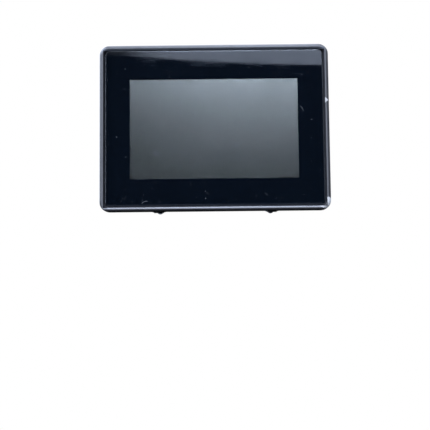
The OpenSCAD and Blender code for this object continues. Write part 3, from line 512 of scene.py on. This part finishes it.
def ring(middle_x, middle_z, half_w, half_h, radius, depth, arc=10, run=1):
    """Points round a rectangle with round corners, in the plane y = depth."""
    points = []
    radius = max(radius, 0.05 * MM)
    corners = ((1, 1, 0), (-1, 1, 90), (-1, -1, 180), (1, -1, 270))
    for side_x, side_z, start in corners:
        centre = Vector((middle_x + side_x * (half_w - radius), depth, middle_z + side_z * (half_h - radius)))
        turn = [math.radians(start + 90 * i / arc) for i in range(arc + 1)]
        bend = [centre + radius * Vector((math.cos(t), 0, math.sin(t))) for t in turn]
        if points:
            points += between(points[-1], bend[0], run)
        points += bend
    return points + between(points[-1], points[0], run)


def between(a, b, count):
    """The points that split the line from a to b into count stretches, ends left out."""
    return [a.lerp(b, i / count) for i in range(1, count)]


def loft(rings, closed=False):
    """A mesh through rings of equal length. Its ends are flat faces, or joined to each other."""
    bm = bmesh.new()
    rows = [[bm.verts.new(p) for p in points] for points in rings]
    pairs = list(zip(rows, rows[1:])) + ([(rows[-1], rows[0])] if closed else [])
    count = len(rows[0])
    for a, b in pairs:
        for i in range(count):
            j = (i + 1) % count
            bm.faces.new((a[i], a[j], b[j], b[i]))
    if not closed:
        bm.faces.new(rows[0][::-1])
        bm.faces.new(rows[-1])
    bmesh.ops.recalc_face_normals(bm, faces=bm.faces)
    return bm


def fillet(corner, before, after, radius, steps=4):
    """A round corner in a profile: points on a curve from the side of before to that of after."""
    a = corner + (before - corner).normalized() * radius
    b = corner + (after - corner).normalized() * radius
    return [
        a.lerp(corner, t).lerp(corner.lerp(b, t), t) for t in (i / steps for i in range(steps + 1))
    ]


def profile(points, radii):
    """A profile of (inset, depth) points in millimetres with its corners rounded, in metres."""
    corners = [Vector(p) for p in points]
    made = []
    for i, corner in enumerate(corners):
        radius = radii.get(i, 0)
        if radius:
            made += fillet(corner, corners[i - 1], corners[(i + 1) % len(corners)], radius)
        else:
            made.append(corner)
    return [p * MM for p in made]


def box(low, high, edge=0.0, steps=2):
    """A block between two corners, with its edges rounded by edge."""
    bm = bmesh.new()
    size = high - low
    place = Matrix.Translation((low + high) / 2) @ Matrix.Diagonal((*size, 1))
    bmesh.ops.create_cube(bm, size=1.0, matrix=place)
    if edge:
        bmesh.ops.bevel(bm, geom=bm.edges[:], offset=edge, segments=steps, profile=0.5, affect="EDGES")
    return bm


def lathe(profile_points, origin, axis, sides=32):
    """A turned form: (radius, distance along axis) points from end to end, on origin."""
    turn = Z.rotation_difference(axis).to_matrix().to_4x4()
    rings = []
    for radius, along in profile_points:
        angles = [2 * math.pi * i / sides for i in range(sides)]
        rings.append([Vector((radius * math.cos(a), radius * math.sin(a), along)) for a in angles])
    bm = loft(rings)
    bmesh.ops.transform(bm, matrix=Matrix.Translation(origin) @ turn, verts=bm.verts)
    return bm


def placed(name, bm):
    """An object of that name in the scene, which takes over the mesh."""
    mesh = bpy.data.meshes.new(name)
    bm.to_mesh(mesh)
    bm.free()
    made = bpy.data.objects.new(name, mesh)
    bpy.context.scene.collection.objects.link(made)
    return made


def joined(parts):
    """One mesh that holds several."""
    mesh = bpy.data.meshes.new("joined")
    whole = bmesh.new()
    for bm in parts:
        bm.to_mesh(mesh)
        bm.free()
        whole.from_mesh(mesh)
    bpy.data.meshes.remove(mesh)
    return whole


def boolean(base, tool, operation, overlapping=False):
    """base with tool cut from it, joined to it or kept in common."""
    objects = [placed("operand", bm) for bm in (base, tool)]
    modifier = objects[0].modifiers.new("boolean", "BOOLEAN")
    modifier.object = objects[1]
    modifier.operation = operation
    modifier.solver = "EXACT"
    modifier.use_self = overlapping
    bpy.context.view_layer.update()
    graph = bpy.context.evaluated_depsgraph_get()
    made = bpy.data.meshes.new_from_object(objects[0].evaluated_get(graph))
    result = bmesh.new()
    result.from_mesh(made)
    for item in objects:
        old = item.data
        bpy.data.objects.remove(item)
        bpy.data.meshes.remove(old)
    bpy.data.meshes.remove(made)
    return result


def piece(name, bm, slot, body, replaces=(), flat=True):
    """A finished piece: its mesh, its material, the body that it rides on and what it replaces."""
    made = placed(name, bm)
    made.data.materials.append(materials[slot])
    made.data.shade_smooth()
    made.data.set_sharp_from_angle(angle=math.radians(SHARP))
    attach(made, body)
    if replaces:
        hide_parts(*replaces)
    if flat:
        soften(made, 0)


def at(x, y, z):
    """A place given in millimetres."""
    return Vector((x, y, z)) * MM


def block(low, high, edge=0.0):
    """A block between two corners in millimetres."""
    return box(at(*low), at(*high), edge * MM)


def bar(x, z, y0, y1, radius, sides=32):
    """A round bar along the depth from y0 to y1."""
    return turned([(radius, y0), (radius, y1)], x, z, sides)


def turned(points, x, z, sides=32):
    """A form turned round an axis along the depth, from (radius, depth) points in millimetres."""
    return lathe([(r * MM, y * MM) for r, y in points], at(x, 0, z), Y, sides)


def on_hinge(points, x=DOOR_X):
    """A form turned round the battery door's hinge, from (radius, distance) points in millimetres."""
    return lathe([(r * MM, along * MM) for r, along in points], at(x, HINGE_Y, HINGE_Z), X)


def band(middle_z, half_w, half_h, radius, section):
    """A closed frame round the panel, from (inset, depth) points in millimetres."""
    rings = [
        ring(0, middle_z * MM, (half_w - i) * MM, (half_h - i) * MM, (radius - i) * MM, y * MM, arc=8)
        for i, y in section
    ]
    return loft(rings, closed=True)


def well(x, z, half_w, half_h, deep, face, flare=0.4):
    """An upright slot cut in from a face, a little wider at its mouth."""
    steps = ((deep, 0.0), (face - flare, 0.0), (face + 0.1, flare + 0.1))
    rings = [
        ring(x * MM, z * MM, (half_w + g) * MM, (half_h + g) * MM, (half_w + g - 0.02) * MM, y * MM, arc=4)
        for y, g in steps
    ]
    return loft(rings)


def moved(bm, matrix):
    bmesh.ops.transform(bm, matrix=matrix, verts=bm.verts)
    bmesh.ops.recalc_face_normals(bm, faces=bm.faces)
    return bm


UPWARD = Matrix(((1, 0, 0, 0), (0, 0, 1, 0), (0, 1, 0, 0), (0, 0, 0, 1)))  # swaps depth and height


def thread(x, z, y0, y1, radius, depth=0.28, sides=24, steps=6):
    """A screw thread along the depth."""
    count = round((y1 - y0) / PITCH * steps)
    rings = []
    for k in range(count + 1):
        y = y0 + (y1 - y0) * k / count
        row = []
        for i in range(sides):
            phase = ((y - y0) / PITCH - i / sides) % 1
            r = radius - depth * abs(2 * phase - 1)
            if k in (0, count):
                r = radius - depth
            turn = 2 * math.pi * i / sides
            row.append(at(x + r * math.cos(turn), y, z + r * math.sin(turn)))
        rings.append(row)
    return loft(rings)


def hexagon(corner, limit, x, z, y, sides=48):
    """A ring round a hexagon whose corners are trimmed to a circle, as a turned chamfer trims them."""
    flat = corner * math.cos(math.radians(30))
    row = []
    for i in range(sides):
        turn = 360 * i / sides
        r = min(flat / math.cos(math.radians(turn % 60 - 30)), limit)
        row.append(at(x + r * math.cos(math.radians(turn)), y, z + r * math.sin(math.radians(turn))))
    return row


def hex_nut(corner, bore, x, z, y0, y1, chamfer=0.35):
    """A nut with chamfered corners and a plain bore."""
    trim = corner - 0.45
    rings = [
        hexagon(corner, trim, x, z, y0), hexagon(corner, corner + 0.1, x, z, y0 + chamfer),
        hexagon(corner, corner + 0.1, x, z, y1 - chamfer), hexagon(corner, trim, x, z, y1),
        hexagon(99, bore + 0.2, x, z, y1), hexagon(99, bore, x, z, y1 - 0.3), hexagon(99, bore, x, z, y0),
    ]
    return loft(rings, closed=True)


def screw_head(x, z, seat, radius, height, blade_w=0.6):
    """A pan head with a cross recess, standing on its seat and facing back."""
    top = seat + height
    head = turned(
        [(radius - 0.15, seat), (radius, seat + 0.15), (radius, seat + 0.5 * height),
         (0.93 * radius, seat + 0.78 * height), (0.75 * radius, top - 0.08), (0.55 * radius, top)], x, z
    )
    reach, deep = 0.62 * radius, 0.6 * height
    for half_x, half_z in ((reach, blade_w / 2), (blade_w / 2, reach)):
        blade = block((x - half_x, top - deep, z - half_z), (x + half_x, top + 0.1, z + half_z))
        for vert in blade.verts:
            if vert.co.y < (top - deep / 2) * MM:
                vert.co = at(x, 0, z) * 0.4 + Vector((vert.co.x * 0.6, vert.co.y, vert.co.z * 0.6))
        head = boolean(head, blade, "DIFFERENCE")
    return head


# ---------- front ----------

def make_bezel():
    """Cast bezel: a crowned rim swept round the panel, and a pocket that carries the glass."""
    half_w, half_h, corner = bezel_high.x, bezel_high.z, 9.0
    rim = profile([(2.0, -1.0), (0.0, -1.0), (0.0, -5.6)], {1: 0.35})
    crown = [
        Vector((3.0 - 3.0 * math.cos(t), -5.6 - 3.0 * math.sin(t))) * MM
        for t in (math.radians(90 * i / 14) for i in range(1, 15))
    ]
    slope = profile(
        [(3.0, -8.6), (3.4, -8.6), (4.7, -7.4), (4.7, -4.6), (12.0, -4.6)], {1: 0.35, 2: 0.15, 3: 0.3}
    )[1:]
    outline = rim + crown + slope
    rings = [
        ring(0, 0, half_w - p.x, half_h - p.x, corner * MM - p.x, p.y, arc=14, run=24) for p in outline
    ]
    opening_w, opening_h, opening_z = 84.25 * MM, 53.75 * MM, -1.0 * MM
    for inset, depth in ((-0.4, -4.6), (0.0, -4.2), (0.0, -1.0)):
        half_w, half_h = opening_w - inset * MM, opening_h - inset * MM
        rings.append(ring(0, opening_z, half_w, half_h, 1.5 * MM, depth * MM, arc=14, run=24))
    body = loft(rings, closed=True)
    cover_half_w, cover_half_h = cover_high.x / MM - WALL - 0.3, cover_high.z / MM - WALL - 0.3
    rib_root = FLANGE_BACK - 0.2
    rib = band(0, cover_half_w, cover_half_h, 3.0, [(0, rib_root), (0, 2), (1.8, 2), (1.8, rib_root)])
    posts = [bar(x, z, FLANGE_BACK - 0.2, 5.0, 3.0) for x, z in CHASSIS_POSTS]
    posts += [bar(x, z, FLANGE_BACK - 0.2, 3.9, 3.0) for x, z in COVER_SCREWS]
    body = boolean(body, joined([rib] + posts), "UNION", True)
    groove = band(0, 99.05, 72.85, 6.0, [(0, -2), (0, 0), (3.3, 0), (3.3, -2)])
    holes = [bar(x, z, -2.6, 5.1, 1.3) for x, z in CHASSIS_POSTS]
    holes += [bar(x, z, -2.6, 4.0, 1.55) for x, z in COVER_SCREWS]
    tail_slot = block((-44, -5, -59.5), (-26, 0, -57.3))
    body = boolean(body, joined([groove, tail_slot] + holes), "DIFFERENCE", True)
    piece("bezel_frame", body, "bezel_paint", "housing", ["front_bezel"], flat=False)


def make_glass():
    """Cover glass whose front edge is ground to a round, polished bevel."""
    half_w, half_h, corner = glass_high.x, glass_high.z, 4.1
    section = profile([(6.0, -5.32), (0.0, -5.32), (0.0, -6.6)], {1: 0.15})
    turn = [math.radians(90 * i / 12) for i in range(1, 13)]
    section += [Vector((1.5 - 1.5 * math.cos(t), -6.6 - 0.8 * math.sin(t))) * MM for t in turn]
    section.append(Vector((6.0, -7.4)) * MM)
    rings = [
        ring(0, 0, half_w - p.x, half_h - p.x, max(corner * MM - p.x, 0.4 * MM), p.y, arc=12) for p in section
    ]
    piece("glass_pane", loft(rings), "cover_glass", "housing", ["cover_glass"])


def make_border():
    """Printed border behind the glass, with the clear window that the display shows through."""
    low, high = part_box("printed_border")
    left, right, bottom, top = WINDOW
    middle_x, middle_z = (left + right) / 2 * MM, (bottom + top) / 2 * MM
    rings = [ring(0, 0, high.x, high.z, 3.8 * MM, y) for y in (high.y, low.y)]
    rings += [
        ring(middle_x, middle_z, (right - left) / 2 * MM, (top - bottom) / 2 * MM, 0.6 * MM, y)
        for y in (low.y, high.y)
    ]
    piece("border_print", loft(rings, closed=True), "black_print", "housing", ["printed_border"])


# ---------- rear housing ----------

def housing_block(half_w, low, high, radius, section):
    """A solid that narrows towards the back, from (inset, depth) points in millimetres."""
    middle, half_h = (low + high) / 2 * MM, (high - low) / 2 * MM
    rings = [
        ring(0, middle, half_w * MM - p.x, half_h - p.x, radius * MM - p.x, p.y, arc=8) for p in section
    ]
    return loft(rings)


def vents():
    """Three rows of slots: two in the rear face and one in the top face."""
    rows = [well(-74 + 6 * i, z, 1.1, 6.5, BLOCK_BACK - 4, BLOCK_BACK) for z in (49, -32) for i in range(18)]
    top = [well(-72 + 6 * i, 30, 1.1, 6.5, BLOCK_HIGH - 4, BLOCK_HIGH) for i in range(25)]
    return rows + [moved(bm, UPWARD) for bm in top]


def socket_openings():
    """Openings in the underside and in the left side of the raised block, and the clamps' slots."""
    low, high = PORT_Z - 1, BLOCK_LOW + WALL + 1
    sizes = (POWER_X, 9.2, 10.3), (USB_DEVICE_X, 6.3, 11.3), (ETHERNET_X, 8.3, 13.7), (SERIAL_X, 9.9, 12.95)
    openings = [
        block((x - half_w, BOARD_BACK - 0.3, low), (x + half_w, BOARD_BACK + deep, high))
        for x, half_w, deep in sizes
    ]
    openings += [
        moved(bar(SERIAL_X + side * SERIAL_HALF_PITCH, SERIAL_Y, low, high, 1.7), UPWARD) for side in (-1, 1)
    ]
    outer_x, inner_x = -BLOCK_HALF_W - 1, -BLOCK_HALF_W + WALL + 1
    openings.append(block((outer_x, 21.9, USB_HOST_Z - 6.9), (inner_x, 28.4, USB_HOST_Z + 6.9)))
    openings.append(block((outer_x, 22.6, CARD_Z - 12.6), (inner_x, 25.8, CARD_Z + 12.6)))
    openings.append(block((outer_x, 19.0, CARD_Z - 7), (-BLOCK_HALF_W + 1, 29.5, CARD_Z + 7), 0.8))
    for side_x in (-1, 1):
        for side_z in (-1, 1):
            x, z = side_x * CLAMP_X, side_z * (68.5 - WALL / 2)
            openings.append(block((x - 4.2, 10.6, z - WALL), (x + 4.2, 13.3, z + WALL)))
    return openings


def earth_mark(x, z):
    """The sign for earth: a stem over three shortening bars."""
    face, deep = TRAY_BACK + 0.1, TRAY_BACK - 0.3
    bars = [block((x - 0.2, deep, z), (x + 0.2, face, z + 2.6))]
    for i, half_w in enumerate((2.1, 1.35, 0.6)):
        bars.append(block((x - half_w, deep, z - 0.4 - 0.9 * i), (x + half_w, face, z + 0.05 - 0.9 * i)))
    return bars


def make_rear_shell():
    """Moulded rear housing: tray and raised block, vents, openings, screw wells and hinge ears."""
    half_w, half_h = cover_high.x / MM, cover_high.z / MM
    tray = housing_block(
        half_w, -half_h, half_h, TRAY_ROUND,
        profile([(0, FLANGE_BACK), (0, TRAY_BACK), (6, TRAY_BACK)], {1: 1.2})
    )
    raised = housing_block(
        BLOCK_HALF_W, BLOCK_LOW, BLOCK_HIGH, BLOCK_ROUND,
        profile([(0, TRAY_BACK - 2), (0, BLOCK_BACK - 3), (3, BLOCK_BACK), (8, BLOCK_BACK)], {1: 1.2, 2: 1.2})
    )
    tray_hollow = housing_block(
        half_w - WALL, WALL - half_h, half_h - WALL, 2.5,
        profile([(0, FLANGE_BACK - 0.2), (0, TRAY_BACK - WALL), (5, TRAY_BACK - WALL)], {1: 0.8})
    )
    ceiling = BLOCK_BACK - WALL
    raised_hollow = housing_block(
        BLOCK_HALF_W - WALL, BLOCK_LOW + WALL, BLOCK_HIGH - WALL, 3.5,
        profile([(0, TRAY_BACK - 4), (0, ceiling - 1), (1, ceiling), (5, ceiling)], {})
    )
    shell = boolean(tray, raised, "UNION")
    shell = boolean(shell, boolean(tray_hollow, raised_hollow, "UNION"), "DIFFERENCE")
    posts = [bar(x, z, 4.0, TRAY_BACK - 1, 3.4) for x, z in COVER_SCREWS]
    posts.append(bar(RESET_X, LIGHTS_Z, BLOCK_BACK - 11, BLOCK_BACK - WALL + 0.5, 3.4))
    for side in (-1, 1):
        section = ((2.2, -EAR), (2.6, -EAR + 0.4), (2.6, EAR - 0.4), (2.2, EAR))
        posts.append(on_hinge(section, DOOR_X + side * DOOR_HALF_W))
    shell = boolean(shell, joined(posts), "UNION", True)

    cuts = vents() + socket_openings() + earth_mark(EARTH_X - 10, EARTH_Z)
    screw_well = [(1.65, 3.8), (1.65, SCREW_SEAT), (3.0, SCREW_SEAT), (3.0, 15.6), (3.6, 16.2)]
    cuts += [turned(screw_well, x, z) for x, z in COVER_SCREWS]
    left, right = DOOR_X - DOOR_HALF_W, DOOR_X + DOOR_HALF_W
    cuts.append(block((left, BLOCK_BACK - 6.2, DOOR_LOW), (right, BLOCK_BACK + 1, HINGE_Z - 3)))
    cuts.append(block((left + EAR, BLOCK_BACK - 6.2, DOOR_LOW + 1), (right - EAR, BLOCK_BACK + 3, DOOR_HIGH)))
    cuts.append(on_hinge([(0.82, -20.5), (0.82, 20.5)]))
    thumb_dip = [(5.2, BLOCK_BACK - 1.2), (6.4, BLOCK_BACK - 0.8), (7.2, BLOCK_BACK + 0.1)]
    cuts.append(turned(thumb_dip, DOOR_X, DOOR_LOW))
    for x in LIGHTS_X:
        cuts.append(turned([(1.3, 39), (1.3, 41.7), (1.7, 42.1)], x, LIGHTS_Z))
    cuts.append(turned([(1.6, 30), (1.6, 41.4), (2.4, 42.1)], RESET_X, LIGHTS_Z))
    cuts.append(bar(EARTH_X, EARTH_Z, TRAY_BACK - 4, TRAY_BACK + 0.1, 1.65))
    for x, z in ((-78, 56.5), (78, 56.5), (-78, -41.5), (78, -41.5), (10, -4)):
        cuts.append(bar(x, z, BLOCK_BACK - 0.12, BLOCK_BACK + 0.1, 2.4))
    label_half = (label_high - label_low) / 2 / MM
    middle = (label_low + label_high) / 2
    cuts.append(loft([
        ring(middle.x, middle.z, (label_half.x + 0.2) * MM, (label_half.z + 0.2) * MM, 1.7 * MM, y * MM)
        for y in (BLOCK_BACK - 0.3, BLOCK_BACK + 0.1)
    ]))
    parting = band(
        (BLOCK_LOW + BLOCK_HIGH) / 2, BLOCK_HALF_W, (BLOCK_HIGH - BLOCK_LOW) / 2, BLOCK_ROUND,
        [(-0.3, 18.7), (0.3, 18.7), (0.3, 19.3), (-0.3, 19.3)]
    )
    shell = boolean(shell, joined(cuts), "DIFFERENCE", True)
    shell = boolean(shell, parting, "DIFFERENCE")
    piece("rear_shell", shell, "cover_plastic", "housing", ["rear_cover"])


def make_battery_lid():
    """Hinged lid with a barrel, grip ridges, inner ribs and a snap hook."""
    left, right = DOOR_X - DOOR_HALF_W + 0.3, DOOR_X + DOOR_HALF_W - 0.3
    front, back = BLOCK_BACK - 2.1, BLOCK_BACK - 0.1
    lid = block((left, front, DOOR_LOW + 0.3), (right, back, HINGE_Z - 3.3), 0.35)
    neck = block((left + EAR, front, HINGE_Z - 5), (right - EAR, back, HINGE_Z), 0.2)
    span = DOOR_HALF_W - EAR - 0.3
    barrel = on_hinge([(1.9, -span), (2.2, 0.3 - span), (2.2, span - 0.3), (1.9, span)])
    ridges = [
        block((DOOR_X - 8, back - 0.4, z - 0.4), (DOOR_X + 8, back + 0.45, z + 0.4), 0.3)
        for z in (7, 8.8, 10.6, 12.4)
    ]
    ribs = [
        block((x, front - 1.5, DOOR_LOW + 3), (x + 1, front + 0.2, HINGE_Z - 6), 0.2)
        for x in (left + 3.7, right - 4.7)
    ]
    hook = block((DOOR_X - 3, front - 1.6, DOOR_LOW + 0.6), (DOOR_X + 3, front + 0.2, DOOR_LOW + 1.9), 0.25)
    lid = boolean(lid, joined([neck, barrel, hook] + ridges + ribs), "UNION", True)
    lid = boolean(lid, on_hinge([(0.86, -20), (0.86, 20)]), "DIFFERENCE")
    piece("battery_lid", lid, "door_plastic", "battery_door", ["battery_door"])


def make_cover_screws():
    """Six pan head screws in the wells of the rear housing."""
    parts = []
    for x, z in COVER_SCREWS:
        parts += [screw_head(x, z, SCREW_SEAT, 2.7, 1.9), bar(x, z, 0.1, SCREW_SEAT + 0.3, 1.5, sides=20)]
    piece("cover_screw_set", joined(parts), "screw_zinc", "housing", ["cover_screws"])


def make_earth_terminal():
    """Threaded earth stud with its collar inside the wall, and a chamfered lock nut."""
    top = TRAY_BACK + 12
    thread_low = TRAY_BACK + NUT_HIGH + 0.1
    stud = [
        turned([(3.6, TRAY_BACK - WALL - 1.5), (3.6, TRAY_BACK - WALL)], EARTH_X, EARTH_Z),
        bar(EARTH_X, EARTH_Z, TRAY_BACK - WALL - 0.2, thread_low + 0.2, 1.6),
        thread(EARTH_X, EARTH_Z, thread_low, top - 0.5, 2.0),
        turned([(1.72, top - 0.6), (1.72, top - 0.4), (1.3, top)], EARTH_X, EARTH_Z, 24),
    ]
    piece("earth_stud_thread", joined(stud), "stud_yellow", "housing", ["earth_stud"])
    nut = hex_nut(4.04, 1.65, EARTH_X, EARTH_Z, TRAY_BACK, TRAY_BACK + NUT_HIGH)
    piece("earth_lock_nut", nut, "stud_yellow", "housing", ["earth_nut"])


def make_clamps():
    """The four clamps' screws, each with a rolled thread and a cross recess, and their feet."""
    places = [(x, z) for z in (CLAMP_Z, -CLAMP_Z) for x in (-CLAMP_X, CLAMP_X)]
    low = FOOT_REST + 3.1
    for i, (x, z) in enumerate(places, 1):
        parts = [
            bar(x, z, FOOT_REST + 1.3, low + 0.2, 1.4, sides=24),
            thread(x, z, low, CLAMP_SEAT + 0.1, 2.0),
            screw_head(x, z, CLAMP_SEAT, 3.2, 2.5, 0.8),
        ]
        number = str(i)
        screw = "clamp_screw_" + number
        piece("clamp_bolt_" + number, joined(parts), "clamp_screw", screw, [screw])
        foot = turned(FOOT, x, z)
        piece("clamp_pad_" + number, foot, "clamp_steel", "clamp_foot_" + number, ["clamp_foot_" + number])


def make_power_plug():
    """Pluggable screw terminal for the supply, with three wire entries and three screw wells."""
    back = BOARD_BACK + 12
    plug = block((POWER_X - 7.62, BOARD_BACK - 0.5, PLUG_LOW), (POWER_X + 7.62, back, PORT_Z - 0.4), 0.35)
    nose_low = (POWER_X - 7.6, BOARD_BACK + 1.4, PORT_Z - 1.4)
    nose_high = (POWER_X + 7.6, BOARD_BACK + 8.8, PORT_Z + 9.8)
    nose = block(nose_low, nose_high, 0.3)
    plug = boolean(plug, nose, "UNION")
    cuts = []
    for i in (-1, 0, 1):
        x = POWER_X + i * POWER_PITCH
        cuts.append(block((x - 0.75, 26.45, PORT_Z + 1), (x + 0.75, 27.95, PORT_Z + 10.5)))
        entry = turned([(1.9, PLUG_LOW - 0.1), (1.4, PLUG_LOW + 0.8), (1.4, PLUG_LOW + 8)], x, 25.6)
        cuts.append(moved(entry, UPWARD))
        cuts.append(turned([(1.95, 29), (1.95, back - 0.4), (2.3, back + 0.1)], x, PLUG_LOW + 5.2))
    for side in (-1, 1):
        x = POWER_X + side * POWER_PITCH / 2
        cuts.append(block((x - 0.2, back - 0.35, PLUG_LOW + 0.6), (x + 0.2, back + 0.2, PORT_Z - 1)))
        x = POWER_X + side * 7.62
        groove_high = (x + 0.5, BOARD_BACK + 10, PLUG_LOW + 6)
        cuts.append(block((x - 0.5, BOARD_BACK + 2, PLUG_LOW + 1), groove_high, 0.2))
    plug = boolean(plug, joined(cuts), "DIFFERENCE", True)
    piece("power_plug_block", plug, "terminal_green", "power_plug", ["power_plug"])
    screws = []
    for i in (-1, 0, 1):
        x, z = POWER_X + i * POWER_PITCH, PORT_Z - 5.4
        head = turned([(1.85, 29.1), (1.85, 32.9), (1.7, 33.15), (1.2, 33.2)], x, z, 24)
        screws.append(boolean(head, block((x - 1.7, 32.4, z - 0.3), (x + 1.7, 33.3, z + 0.3)), "DIFFERENCE"))
    piece("plug_screw_set", joined(screws), "screw_zinc", "power_plug", ["terminal_screws"])


def make_sockets():
    """The network socket's shell with rounded edges and its light windows, and the serial socket's jack
    posts.
    """
    x = ETHERNET_X
    jack = block((x - 8, BOARD_BACK, PORT_Z), (x + 8, BOARD_BACK + 13.4, PORT_Z + 21), 0.45)
    cuts = [
        block((x - 5.95, BOARD_BACK + 2, PORT_Z - 0.1), (x + 5.95, BOARD_BACK + 9.6, PORT_Z + 12)),
        block((x - 3.2, BOARD_BACK + 9, PORT_Z - 0.1), (x + 3.2, BOARD_BACK + 11.4, PORT_Z + 12)),
    ]
    windows = []
    for side in (-1, 1):
        low, high = x + side * 5.6 - 1.5, x + side * 5.6 + 1.5
        cuts.append(block((low, BOARD_BACK + 10.4, PORT_Z - 0.1), (high, BOARD_BACK + 12.4, PORT_Z + 1)))
        window_high = (high - 0.1, BOARD_BACK + 12.3, PORT_Z + 1)
        windows.append(block((low + 0.1, BOARD_BACK + 10.5, PORT_Z + 0.1), window_high, 0.2))
    jack = boolean(jack, joined(cuts), "DIFFERENCE", True)
    piece("network_socket", jack, "port_steel", "housing", ["ethernet_jack"])
    piece("network_lights", joined(windows), "light_pipe", "housing")

    posts = []
    for side in (-1, 1):
        place = SERIAL_X + side * SERIAL_HALF_PITCH
        nut = hex_nut(2.7, 1.42, place, SERIAL_Y, PORT_Z - 5.9, PORT_Z - 0.9, 0.3)
        shank = thread(place, SERIAL_Y, PORT_Z - 1.4, PORT_Z + 3.1, 1.5, 0.22)
        posts += [moved(nut, UPWARD), moved(shank, UPWARD)]
    piece("jack_post_set", joined(posts), "screw_zinc", "housing", ["jack_posts"])


def make_card():
    """Memory card with softened edges, a thumb groove and a blank label recess."""
    low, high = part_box("memory_card")
    left, right, bottom, top = low.x, high.x, low.z, high.z
    clip = 4 * MM
    outline = [(left, bottom), (right, bottom), (right, top - clip), (right - clip, top), (left, top)]
    mid = Vector(((left + right) / 2, (bottom + top) / 2))
    rings = []
    for y, inset in ((low.y, 0.25), (low.y + 0.25 * MM, 0.0), (high.y - 0.25 * MM, 0.0), (high.y, 0.25)):
        rings.append([
            Vector((x + math.copysign(inset * MM, mid.x - x), y, z + math.copysign(inset * MM, mid.y - z)))
            for x, z in outline
        ])
    card = loft(rings)
    start, end, face = left / MM, right / MM, high.y / MM
    cuts = [
        block((start + 1.2, face - 0.3, CARD_Z - 7), (start + 2.2, face + 0.3, CARD_Z + 7)),
        block((start + 5, face - 0.1, CARD_Z - 9), (end - 6, face + 0.3, CARD_Z + 8)),
    ]
    card = boolean(card, joined(cuts), "DIFFERENCE")
    piece("card_body", card, "card_blue", "memory_card", ["memory_card"])


# ---------- studio ----------

def make_floor():
    """Pale floor under the object. From below it is clear, as the camera is a little under it,
    and it throws less light up than its look, as the photographed panel lay over a dark one."""
    s = Shader("floor")
    pale = s.matt(s.mix(s.noise(0.4, 3), (0.46, 0.40, 0.325), (0.48, 0.42, 0.345)))
    below = s.add("ShaderNodeNewGeometry").outputs["Backfacing"]
    dim = s.matt(s.mix(s.noise(0.4, 3), (0.055, 0.058, 0.06), (0.065, 0.068, 0.07)))
    seen = s.blend(s.add("ShaderNodeLightPath").outputs["Is Camera Ray"], dim, pale)
    both = s.blend(below, seen, s.add("ShaderNodeBsdfTransparent"))
    bm = bmesh.new()
    bmesh.ops.create_grid(bm, x_segments=1, y_segments=1, size=6.0)
    floor = placed("floor", bm)
    floor.data.materials.append(s.close(both))
    floor.location = (0, 0, floor_z)


def make_world():
    """Soft studio: a pale backdrop to look at, and a bright overcast ceiling that lights the object.
    In front of the panel the ceiling starts high up, so the glass mirrors mostly a dark room."""
    s = Shader("studio", world=True)
    x, y, z = s.split()
    # the ceiling's near edge, a little lower towards the right
    above = s.ramp(s.plus(z, s.times(x, 0.058)), 0.2773, 0.2809)
    right = s.ramp(x, -0.133, -0.06, 0.08, 1.0)
    far_left = s.ramp(x, -0.45, -0.75)
    share = s.times(s.most(right, far_left), s.ramp(x, 0.145, 0.24, 1.0, 0.15))
    ceiling = s.times(s.times(above, s.ramp(z, 0.29, 0.75, 3.3, 9.5)), share)
    sides = s.most(s.ramp(x, -0.6, -0.35, 1.5, 0.0), s.ramp(x, 0.35, 0.6, 0.0, 0.15))
    front = s.plus(ceiling, s.times(sides, s.ramp(z, -0.3, 0.0)))
    back = s.times(s.ramp(x, -0.5, 0.6, 3.0, 0.4), s.ramp(z, -0.3, 0.1, 0.2, 1.0))
    behind = s.ramp(y, 0.0, 0.4)
    level = s.plus(s.times(front, s.minus(1.0, behind)), s.times(back, behind))
    room = s.add("ShaderNodeBackground", Color=(0.8, 0.93, 1.2, 1.0), Strength=s.plus(level, 0.02))
    backdrop = s.add("ShaderNodeBackground", Color=(1.0, 1.0, 1.0, 1.0), Strength=1.0)
    seen = s.add("ShaderNodeLightPath").outputs["Is Camera Ray"]
    bpy.context.scene.world = s.close(s.blend(seen, room, backdrop))
    bpy.context.scene.view_settings.view_transform = "Standard"


make_camera()
finish_cad_nodes()
make_bezel()
make_glass()
make_border()
make_rear_shell()
make_battery_lid()
make_cover_screws()
make_earth_terminal()
make_clamps()
make_power_plug()
make_sockets()
make_card()
make_floor()
make_world()
